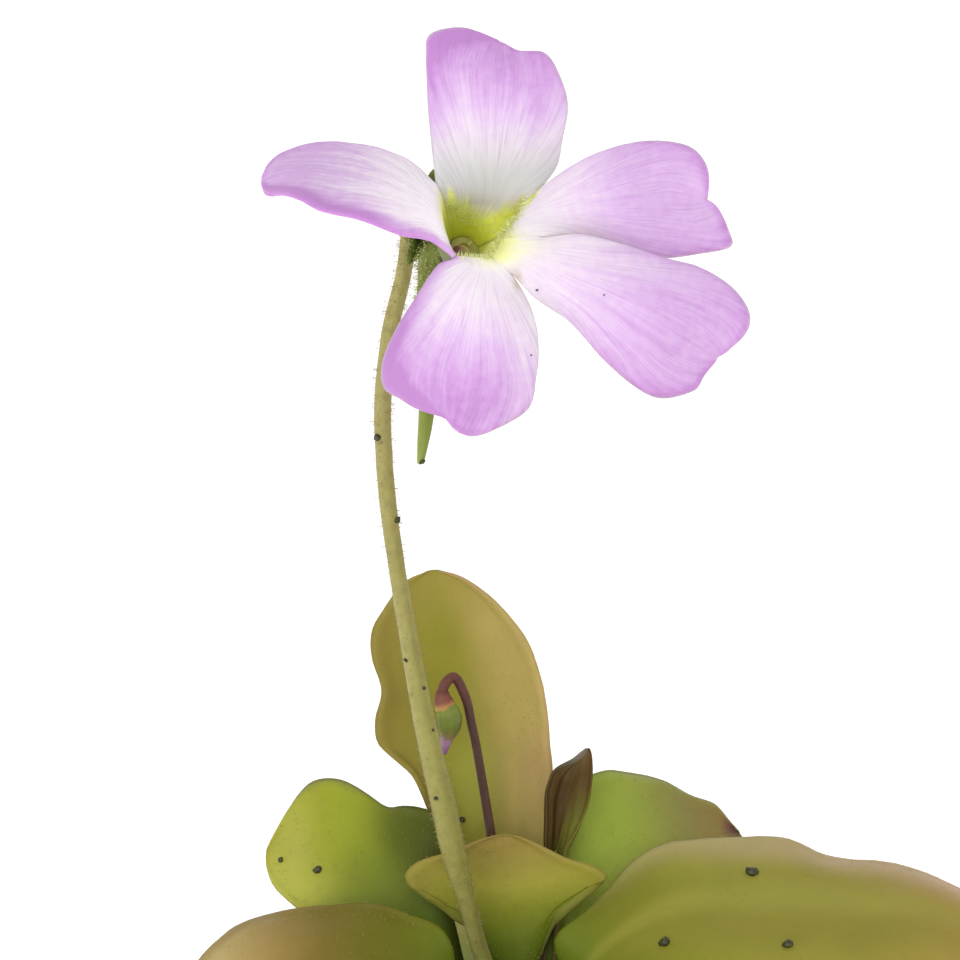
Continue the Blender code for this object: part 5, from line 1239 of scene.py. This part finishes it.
leafLook = dict(under="#86863e", freckle="#6a6a1c", freckleShare=0.05, freckleSize=1.6, roughness=0.46,
                rimFrom=(0.30, 0.55),
                # soft wet skin: it shines a little through its film of glue
                patchShare=0.15, bump=0.22, shine=0.12)
leafPieces = {}
for number, (name, leaf) in enumerate(drawnLeaves.items()):
    withered = name == "leaf_withered"
    look = leaf["look"] if withered else dict(leafLook, **leaf["look"])
    material = tissueMaterial("witheredLeaf" if withered else "leafSkin_" + name[5:], look)
    leafPieces[name] = makeLeaf(name, drawnSurface(leaf), material, number, 0.5 if withered else 0.0,
        look.get("tones", ()))
laidMaterial = tissueMaterial("leafSkin_rosette", dict(leafLook, **laidLook))
for number, (name, numbers) in enumerate(laidLeaves.items()):
    leafPieces[name] = makeLeaf(name, laidSurface(*numbers), laidMaterial, 20 + number)
# stalked glands with drops of clear glue
glandMaterial = hairMaterial("leafGland", "#9a9a40", "#b3b060", 0.15)
addHairs("leaf_glands", glandHairs, glandMaterial)
print("leaves are set:", len(glandHairs), "glands")

# Dark grains stuck to the glue: each lies on the piece that carries it, where the camera sees it

grains = dict(
    places=[(stalkPiece, 377.5, 437, 0.26), (stalkPiece, 397, 520, 0.24), (stalkPiece, 392, 610, 0.20),
            (stalkPiece, 406, 660, 0.16), (stalkPiece, 424, 688, 0.16), (stalkPiece, 433, 730, 0.13),
            (stalkPiece, 436, 798, 0.17), (spurPiece, 422, 462, 0.20), (spurPiece, 441, 259, 0.20),
            (corollaPiece, 537, 290, 0.09), (corollaPiece, 604, 295, 0.06), (corollaPiece, 531, 355, 0.07),
            (leafPieces["leaf_back_upright"], 462, 820, 0.24),
            (leafPieces["leaf_left_back"], 318, 870, 0.34),
            (leafPieces["leaf_left_back"], 281, 860, 0.24),
            (leafPieces["leaf_right_large"], 752, 873, 0.48),
            (leafPieces["leaf_right_large"], 665, 943, 0.44),
            (leafPieces["leaf_right_large"], 788, 945, 0.40)],
    seed=77,
)


# the place on the piece that the camera sees at a pixel, and the normal there
def seenOn(piece, column, row):
    focal = camera.data.lens / camera.data.sensor_width * studio["pixels"]
    middle = studio["pixels"] / 2
    way = Vector(((column - middle) / focal, (middle - row) / focal, -1)).normalized()
    way = camera.rotation_euler.to_matrix() @ way
    hit, place, normal, _ = piece.ray_cast(camera.location, way)
    return (place / mm, normal) if hit else None


# soil grains and midges in mucilage: dark, slightly wet
speckMaterial, tree, shader, where = newMaterial("stuckGrain")
tone = addNode(tree, "ValToRGB", {"Fac": addNode(tree, "TexNoise", {"Vector": where, "Scale": 1000 / 0.2,
    "Detail": 2.0}).outputs[0]}, [(0.35, "#1d1c12"), (0.65, "#4a4a28")])
setInputs(tree, shader, {
    "Base Color": tone.outputs["Color"], "Roughness": 0.45,
})

# Crown, soil and pot

# firm pale tissue where the leaves join: waxy, green to cream
crownMaterial, tree, shader, where = newMaterial("leafBaseTissue")
height = addNode(tree, "SeparateXYZ", {0: where}).outputs[2]
share = addNode(tree, "MapRange", {"Value": height, "From Min": 0.062, "From Max": 0.0685}).outputs[0]
colour = addNode(tree, "ValToRGB", {"Fac": share}, [(0.0, "#8a7a58"), (0.5, "#8f8a4a"),
    (1.0, "#6f7c26")]).outputs["Color"]
patches = addNode(tree, "ValToRGB", {"Fac": addNode(tree, "TexNoise",
    {"Vector": where, "Scale": 1000 / 1.0, "Detail": 3.0}).outputs[0]},
    [(0.3, "#a8a8a8"), (0.7, "#ffffff")])
tree.links.new(addNode(tree, "Mix", {0: 0.6, 6: colour, 7: patches.outputs["Color"]}, data_type="RGBA",
    blend_type="MULTIPLY").outputs[2], shader.inputs["Base Color"])
bump = addNode(tree, "Bump", {"Height": addNode(tree, "TexNoise", {"Vector": where, "Scale": 1000 / 0.5,
    "Detail": 3.0}).outputs[0], "Strength": 0.4, "Distance": 0.1 * mm})
setInputs(tree, shader, {
    "Normal": bump.outputs["Normal"], "Roughness": 0.5,
})
crown = dict(
    profile=[(0, 51.0), (1.0, 51.4), (2.2, 56.8), (2.6, 64.3), (3.6, 64.55), (4.1, 64.9), (4.2, 65.4),
             (4.1, 65.9),
             (3.85, 66.5), (3.5, 67.3), (3.1, 67.9), (2.6, 68.35), (1.8, 68.6), (0.8, 68.7), (0, 68.7)],
    segments=96, swell=0.28, heart=[(205, 2.0, 3.8), (252, 2.6, 3.2), (300, 2.1, 4.0), (345, 2.3, 3.4),
                                    (160, 2.5, 3.3)],
    leafThickness=0.4, leafWidth=0.85, heartHeight=68.2, heartForm=((70, 40, 8), 0, 34, 6, 0.04, 1.2),
)  # heart: the youngest leaves, with azimuth, distance from the middle and length


def turnedFaces(profile, segments, shape=None):  # points and faces of a body turned about Z
    points, faces, rings = [], [], []
    for radius, height in profile:
        radius = radius if radius > 0.01 else 0.0
        count = segments if radius else 1
        rings.append(range(len(points), len(points) + count))
        for k in range(count):
            angle = 2 * math.pi * k / segments
            spot = Vector((radius * math.cos(angle), radius * math.sin(angle), height))
            points.append(spot + (shape(spot) if shape else Vector()))
    for low, high in zip(rings, rings[1:]):
        for k in range(segments):
            corners = [low[k % len(low)], low[(k + 1) % len(low)], high[(k + 1) % len(high)],
                high[k % len(high)]]
            faces.append(list(dict.fromkeys(corners)))
    return points, faces


def crownSwell(spot):  # leaf bases and scars show as soft lumps on the crown, not on the stock in the soil
    outward = Vector((spot.x, spot.y, 0))
    share = crown["swell"] * smoothstep(64.2, 65.0, spot.z) * smoothstep(0.5, 2.5, outward.length)
    return outward.normalized() * share * (noise.noise(spot * 0.9) - 0.3) if outward.length else Vector()


points, faces = turnedFaces([tuple(lineThrough([(r, h, 0) for r, h in crown["profile"]])(k / 40))[:2]
    for k in range(41)], crown["segments"], crownSwell)
addPiece("crown_body", points, faces, crownMaterial, ["crown"])

points, faces, layers = [], [], {"along": [], "across": [], "side": []}
for azimuth, radius, length in crown["heart"]:
    surface = laidSurface(azimuth, radius, crown["heartHeight"], length, length * crown["leafWidth"],
        *crown["heartForm"], azimuth)
    rows, columns = 18, 12
    sheet, half = [], []
    for i in range(rows + 1):
        for j in range(columns + 1):
            v, t = i / rows, 2 * j / columns - 1
            sheet.append(surface(v * 0.97, t))
            bulk = math.sqrt(max(1 - t ** 4, 0.0)) * math.sqrt(1 - v ** 8)
            half.append(0.0 if abs(t) == 1 or i == rows else max(crown["leafThickness"] / 2 * bulk, 0.05))
    grid = [range(i * (columns + 1), (i + 1) * (columns + 1)) for i in range(rows + 1)]
    made, closed, owner, side = thicken(sheet, gridFaces(grid), half, [0.0] * len(half))
    joinBody(points, faces, made, closed)
    layers["along"] += [0.3 + 0.6 * (i // (columns + 1)) / rows for i in owner]
    layers["across"] += [(i % (columns + 1)) / columns for i in owner]
    layers["side"] += side
addPiece("heart_leaves", points, faces, laidMaterial, layers=layers)

soil = dict(potWall=1.8, rimRadius=36.0, baseRadius=26.0, potHeight=60.0, collarProud=1.4, rimHeight=58.0,
            mound=6.0,
            moundRadius=17.0, hole=2.9, rings=70, segments=200, lumps=1500, perlite=150, seed=41)


def potInsideRadius(height):
    top = soil["rimRadius"] - soil["collarProud"]
    return soil["baseRadius"] + (top - soil["baseRadius"]) * height / soil["potHeight"] - soil["potWall"]


def soilHeight(x, y):
    radius = math.hypot(x, y)
    mound = soil["mound"] * (1 - smoothstep(0, soil["moundRadius"] * 1.8, radius))
    crumbs = 0.7 * noise.noise(Vector((x, y, 0)) * 0.35) + 0.35 * noise.noise(Vector((x, y, 9)) * 0.9)
    crumbs += 0.30 * noise.noise(Vector((x, y, 4)) * 1.9) + 0.15 * noise.noise(Vector((x, y, 2)) * 4.0)
    calm = smoothstep(2.6, 5.6, radius) * (1 - 0.6 * smoothstep(28, 33, radius))
    return soil["rimHeight"] - 0.4 + mound + crumbs * calm


# moist peat with grit: dark, matt and crumbly, with fine fibres
soilMaterial, tree, shader, where = newMaterial("peatAndSand")
grain = addNode(tree, "TexNoise", {"Vector": where, "Scale": 1000 / 0.8, "Detail": 5.0}).outputs[0]
colour = addNode(tree, "ValToRGB", {"Fac": grain}, [(0.3, "#20150f"), (0.5, "#3a281b"),
    (0.7, "#5a4431")]).outputs["Color"]
specks = addNode(tree, "ValToRGB", {"Fac": addNode(tree, "TexNoise", {"Vector": where, "Scale": 1000 / 0.45,
    "Detail": 2.0}).outputs[0]}, [(0.68, "#000000"), (0.76, "#ffffff")])
tree.links.new(addNode(tree, "Mix", {0: specks.outputs["Color"], 6: colour, 7: "#8b7658"},
    data_type="RGBA").outputs[2], shader.inputs["Base Color"])
bump = addNode(tree, "Bump", {"Height": addNode(tree, "TexNoise", {"Vector": where, "Scale": 1000 / 0.4,
    "Detail": 5.0}).outputs[0], "Strength": 0.8, "Distance": 0.3 * mm})
setInputs(tree, shader, {
    "Normal": bump.outputs["Normal"], "Roughness": 0.92,
})

points, faces = [], []
outer = potInsideRadius(soil["rimHeight"]) - 0.3
rings = [(soil["hole"], 50.0)]
rings += [(soil["hole"] + (outer - soil["hole"]) * k / soil["rings"], None)
    for k in range(soil["rings"] + 1)]
rings += [(potInsideRadius(2.5) - 0.8, 2.5)]
for radius, height in rings:
    for k in range(soil["segments"]):
        angle = 2 * math.pi * k / soil["segments"]
        x, y = radius * math.cos(angle), radius * math.sin(angle)
        points.append(Vector((x, y, soilHeight(x, y) if height is None else height)))
for ring in range(len(rings) - 1):
    for k in range(soil["segments"]):
        a, b = ring * soil["segments"] + k, ring * soil["segments"] + (k + 1) % soil["segments"]
        faces.append([a, a + soil["segments"], b + soil["segments"], b])
last = (len(rings) - 1) * soil["segments"]
faces.append([last + k for k in range(soil["segments"])])
faces.append(list(range(soil["segments"]))[::-1])
addPiece("soil_fill", points, faces, soilMaterial, ["soil"])


def lumpShape(chance, size, flat=0.7):  # a small uneven stone from a subdivided octahedron
    axes = [Vector(a) for a in ((1, 0, 0), (0, 1, 0), (-1, 0, 0), (0, -1, 0), (0, 0, 1), (0, 0, -1))]
    points = list(axes)
    faces, middles = [], {}
    for k in range(4):
        for top in (4, 5):
            corners = [k, (k + 1) % 4, top] if top == 4 else [(k + 1) % 4, k, top]
            mids = []
            for a, b in zip(corners, corners[1:] + corners[:1]):
                key = frozenset((a, b))
                if key not in middles:
                    middles[key] = len(points)
                    points.append((points[a] + points[b]).normalized())
                mids.append(middles[key])
            faces += [[corners[0], mids[0], mids[2]], [mids[0], corners[1], mids[1]],
                [mids[2], mids[1], corners[2]], mids]
    shift = Vector([chance.uniform(0, 50) for _ in range(3)])
    turn = Matrix.Rotation(chance.uniform(0, 6.3), 3, Vector([chance.uniform(-1, 1) for _ in range(3)]))
    return [turn @ (Vector((p.x, p.y, p.z * flat)) * size * (1 + 0.45 * noise.noise(p * 1.7 + shift)))
        for p in points], faces


def addLumps(name, material, count, sizes, seed, sink):
    chance = random.Random(seed)
    points, faces = [], []
    for _ in range(count):
        radius, angle = math.sqrt(chance.uniform(0.02, 1)) * (outer - 1.2), chance.uniform(0, 2 * math.pi)
        size = chance.uniform(*sizes)
        x, y = radius * math.cos(angle), radius * math.sin(angle)
        lump, lumpFaces = lumpShape(chance, size)
        joinBody(points, faces, [p + Vector((x, y, soilHeight(x, y) + size * sink)) for p in lump],
            lumpFaces)
    return addPiece(name, points, faces, material)


chance = random.Random(grains["seed"])
points, faces = [], []
for piece, column, row, size in grains["places"]:
    spot = seenOn(piece, column, row)
    if not spot:
        print("no place for the grain at", column, row)
        continue
    lump, lumpFaces = lumpShape(chance, size, 0.8)
    joinBody(points, faces, [p + spot[0] + spot[1] * size * 0.2 for p in lump], lumpFaces)
addPiece("stuck_grains", points, faces, speckMaterial)
addLumps("peat_crumbs", soilMaterial, soil["lumps"], (0.25, 0.8), soil["seed"], 0.05)
# puffed volcanic glass: chalky off-white with pits
perliteMaterial, tree, shader, where = newMaterial("perliteGrain")
pits = addNode(tree, "ValToRGB", {"Fac": addNode(tree, "TexNoise", {"Vector": where, "Scale": 1000 / 0.3,
    "Detail": 3.0}).outputs[0]}, [(0.35, "#b0aca4"), (0.6, "#ece9e2")])
tree.links.new(pits.outputs["Color"], shader.inputs["Base Color"])
bump = addNode(tree, "Bump", {"Height": addNode(tree, "TexNoise", {"Vector": where, "Scale": 1000 / 0.3,
    "Detail": 3.0}).outputs[0], "Strength": 0.7, "Distance": 0.15 * mm})
setInputs(tree, shader, {
    "Normal": bump.outputs["Normal"], "Roughness": 0.85,
})
addLumps("perlite", perliteMaterial, soil["perlite"], (0.5, 1.1), soil["seed"] + 1, 0.2)

# satin nursery pot: fine mould grain, faint flow tone
potMaterial, tree, shader, where = newMaterial("mouldedPolypropylene")
tone = addNode(tree, "ValToRGB", {"Fac": addNode(tree, "TexNoise", {"Vector": where, "Scale": 1000 / 18.0,
    "Detail": 3.0}).outputs[0]}, [(0.3, "#a2573a"), (0.7, "#b06345")])
dust = addNode(tree, "ValToRGB", {"Fac": addNode(tree, "TexNoise", {"Vector": where, "Scale": 1000 / 2.5,
    "Detail": 5.0}).outputs[0]}, [(0.55, "#000000"), (0.8, "#3c3c3c")])
tree.links.new(addNode(tree, "Mix", {0: dust.outputs["Color"], 6: tone.outputs["Color"], 7: "#c9a58f"},
    data_type="RGBA").outputs[2], shader.inputs["Base Color"])
bump = addNode(tree, "Bump", {"Height": addNode(tree, "TexNoise", {"Vector": where, "Scale": 1000 / 0.45,
    "Detail": 2.0}).outputs[0], "Strength": 0.25, "Distance": 0.04 * mm})
setInputs(tree, shader, {
    "Normal": bump.outputs["Normal"], "Roughness": 0.48, "IOR": 1.49,  # polypropylene
})

pot = dict(segments=144, base=2.2, lip=0.7, collarHeight=8.0, drainRadius=2.5, drainRing=17.0, drains=6,
           drainSides=32,
           edge=0.35)


def roundedProfile(corners, reach):  # each corner of the profile becomes a small arc, as a moulded edge is
    rounded = [corners[0]]
    for before, corner, after in zip(corners, corners[1:], corners[2:]):
        middle = Vector(corner)
        for way in (Vector(before) - middle, Vector(after) - middle):
            rounded.append(tuple(middle + way.normalized() * min(reach, way.length / 2)))
        rounded.insert(-1, tuple(middle.lerp((Vector(rounded[-1]) + Vector(rounded[-2])) / 2, 0.4)))
    return rounded + [corners[-1]]


def makePot():  # turned walls, a flat floor with drain holes cut through it
    low = soil["potHeight"] - pot["collarHeight"]
    wallTop = soil["rimRadius"] - soil["collarProud"]
    atCollar = potInsideRadius(low) + soil["potWall"]
    floorRadius = potInsideRadius(pot["base"]) - 0.5
    corners = [(floorRadius, 0), (soil["baseRadius"] - 1, 0), (soil["baseRadius"], 1),
        (atCollar, low - 0.6), (atCollar + soil["collarProud"], low),
        (soil["rimRadius"], soil["potHeight"] - pot["lip"]), (soil["rimRadius"] - pot["lip"],
        soil["potHeight"]), (wallTop - soil["potWall"] + pot["lip"], soil["potHeight"]),
        (wallTop - soil["potWall"], soil["potHeight"] - pot["lip"]), (floorRadius, pot["base"])]
    points, faces = turnedFaces(roundedProfile(corners, pot["edge"]), pot["segments"])
    mesh = bmesh.new()
    corners = [mesh.verts.new(p) for p in points]
    for face in faces:
        mesh.faces.new([corners[i] for i in face])
    outline = {0: [], pot["base"]: []}
    for ring, height in ((corners[:pot["segments"]], 0), (corners[-pot["segments"]:], pot["base"])):
        outline[height] += [mesh.edges.get((a, b)) for a, b in zip(ring, ring[1:] + ring[:1])]
    for hole in range(pot["drains"]):
        turn = 2 * math.pi * hole / pot["drains"]
        rings = []
        for height in (0, pot["base"]):
            rings.append([mesh.verts.new((pot["drainRing"] * math.cos(turn) + pot["drainRadius"]
                * math.cos(angle), pot["drainRing"] * math.sin(turn) + pot["drainRadius"] * math.sin(angle),
                height)) for angle in [2 * math.pi * k / pot["drainSides"]
                for k in range(pot["drainSides"])]])
            outline[height] += [mesh.edges.new((a, b)) for a, b in zip(rings[-1],
                rings[-1][1:] + rings[-1][:1])]
        for k in range(pot["drainSides"]):
            after = (k + 1) % pot["drainSides"]
            mesh.faces.new([rings[0][k], rings[0][after], rings[1][after], rings[1][k]])
    for edges in outline.values():
        bmesh.ops.triangle_fill(mesh, edges=edges, use_beauty=True)
    bmesh.ops.recalc_face_normals(mesh, faces=mesh.faces)
    mesh.verts.index_update()
    made = [v.co.copy() for v in mesh.verts], [[v.index for v in face.verts] for face in mesh.faces]
    mesh.free()
    return made


points, faces = makePot()
potPiece = addPiece("pot_body", points, faces, potMaterial, ["pot"])
for polygon in potPiece.data.polygons:
    polygon.use_smooth = len(polygon.vertices) == 4
print("soil and pot are set")
